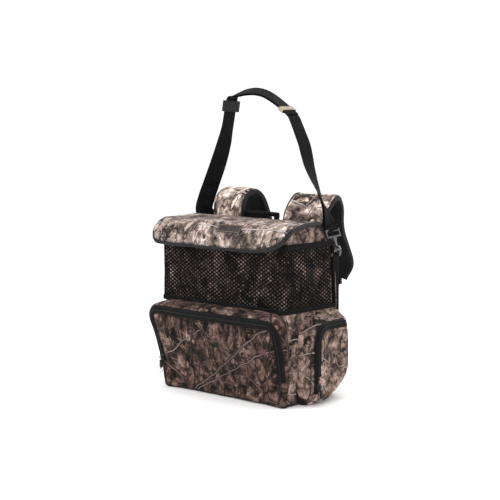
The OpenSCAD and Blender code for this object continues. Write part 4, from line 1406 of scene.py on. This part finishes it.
def make_back():
    lo, hi = (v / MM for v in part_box("back_pad"))
    cx, cz, hx, hz = (lo.x + hi.x) / 2, (lo.z + hi.z) / 2, (hi.x - lo.x) / 2 - 3, (hi.z - lo.z) / 2 - 3

    def ring(k):
        """Outline drawn in by k."""
        turns = [2 * pi * i / 96 for i in range(96)]
        return [(cx + (hx - k) * toward(cos(a), 0.16), cz + (hz - k) * toward(sin(a), 0.16)) for a in turns]

    soup = Soup()
    rings = [[Vector((x, lo.y + 1.0, z)) for x, z in ring(k)] for k in (70, 30, 4)]
    rings += [[Vector((x, lo.y + y, z)) for x, z in ring(k)]
              for k, y in ((0, 3), (0.5, 6), (3, 8.5), (9, 10.2), (22, 11), (45, 11.2), (70, 11.2), (100, 11.2))]
    soup.tube(rings)
    pad = soup.piece("back_cushion", AIRMESH, "bag", ["back_pad"], "black_fabric")
    m = pad.modifiers.new("even", "REMESH")
    m.mode, m.voxel_size = "VOXEL", 0.0055
    me = bpy.data.meshes.new_from_object(pad.evaluated_get(bpy.context.evaluated_depsgraph_get()))
    pad.modifiers.remove(m)
    pad.data = me
    if not me.materials:
        me.materials.append(AIRMESH)
    crumple(pad, [(v.index, 1.0) for v in me.vertices if v.co.y < (lo.y + 2.2) * MM], 0.0, 16, 5.0, 4.0, 0.0)
    hard = (hi.y + 2.5) * MM
    for v in pad.data.vertices:
        x, y, z = v.co / MM
        if y > lo.y + 4:
            groove = sum(math.exp(-((z - c) / 4.5) ** 2) for c in (118, 198)) * ease((hx - 6 - abs(x)) / 14)
            groove += math.exp(-((abs(x) - 52) / 4.5) ** 2) * ease((z - 46) / 14) * ease((266 - z) / 14)
            v.co.y -= 4.5 * MM * min(1, groove)
            v.co.y = min(v.co.y + 0.8 * MM * ripple(x, 0, z, 26), hard)
    for f in pad.data.polygons:
        f.use_smooth = True
    soften(pad)
    soup = Soup()
    rim = [Vector((x, lo.y + 1.8, z)) for x, z in ring(-1.2)]
    cord_along(soup, rim, 2.2, n=10, loop=True)
    soup.piece("back_piping", BINDING, "bag", slot="binding")


def dress_hard_parts():
    """Metal and plastic nodes keep their CAD shape and take a material by name."""
    looks = (("d_ring", DARK_STEEL), ("snap_hook", DARK_STEEL), ("hook_gate", STEEL), ("pull_wire", STEEL),
             ("pull_sleeve", SLEEVE), ("slider", COIL), ("tri_glide", ACETAL), ("ladder_lock", ACETAL))
    for node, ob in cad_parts.items():
        for word, mat in looks:
            if word in node:
                ob.data.materials.clear()
                ob.data.materials.append(mat)


# ---- camera and light

def aim(ob, target):
    """Points a camera or lamp at a place."""
    ob.rotation_euler = (Vector(target) - ob.location).to_track_quat("-Z", "Y").to_euler()


def set_stage():
    cam = bpy.data.objects.new("camera", bpy.data.cameras.new("camera"))
    bpy.context.scene.collection.objects.link(cam)
    cam.location = (1.865, -2.074, 0.606)
    aim(cam, (0.0785, -0.092, 0.314))
    cam.data.sensor_width, cam.data.lens = 36, 95.2
    cam.data.clip_end = 60
    bpy.context.scene.camera = cam

    me = bpy.data.meshes.new("floor")
    me.from_pydata([(-9, -9, 0), (9, -9, 0), (9, 9, 0), (-9, 9, 0)], [], [(0, 1, 2, 3)])
    p = Paint("pale floor")
    me.materials.append(p.done((0.95, 0.95, 0.95), 0.9, spec=0.0))
    floor = bpy.data.objects.new("floor", me)
    bpy.context.scene.collection.objects.link(floor)

    for name, at, target, size, power in (
            ("key", (-1.3, -1.9, 2.6), (0, 0, 0.3), 1.6, 40),
            ("fill", (2.6, -1.4, 1.3), (0, 0, 0.25), 2.0, 16),
            ("top", (0.2, 0.4, 2.9), (0, 0, 0.3), 1.8, 26),
            ("rear", (-0.6, 2.6, 1.8), (0, 0, 0.3), 1.8, 18)):
        lamp = bpy.data.objects.new(name, bpy.data.lights.new(name, "AREA"))
        lamp.data.energy, lamp.data.size = power, size
        lamp.location = at
        aim(lamp, target)
        bpy.context.scene.collection.objects.link(lamp)
    world = bpy.data.worlds.new("studio")
    world.use_nodes = True
    world.node_tree.nodes["Background"].inputs[0].default_value = (1, 1, 1, 1)
    world.node_tree.nodes["Background"].inputs[1].default_value = 1.06
    bpy.context.scene.world = world
    bpy.context.scene.view_settings.view_transform = "Standard"


set_stage()
make_bag()
make_net()
make_lid()
make_front_pocket()
for which in ("left", "right"):
    make_side_pocket(which)
    make_shoulder(which)
make_carry_strap()
make_haul()
make_back()
dress_hard_parts()
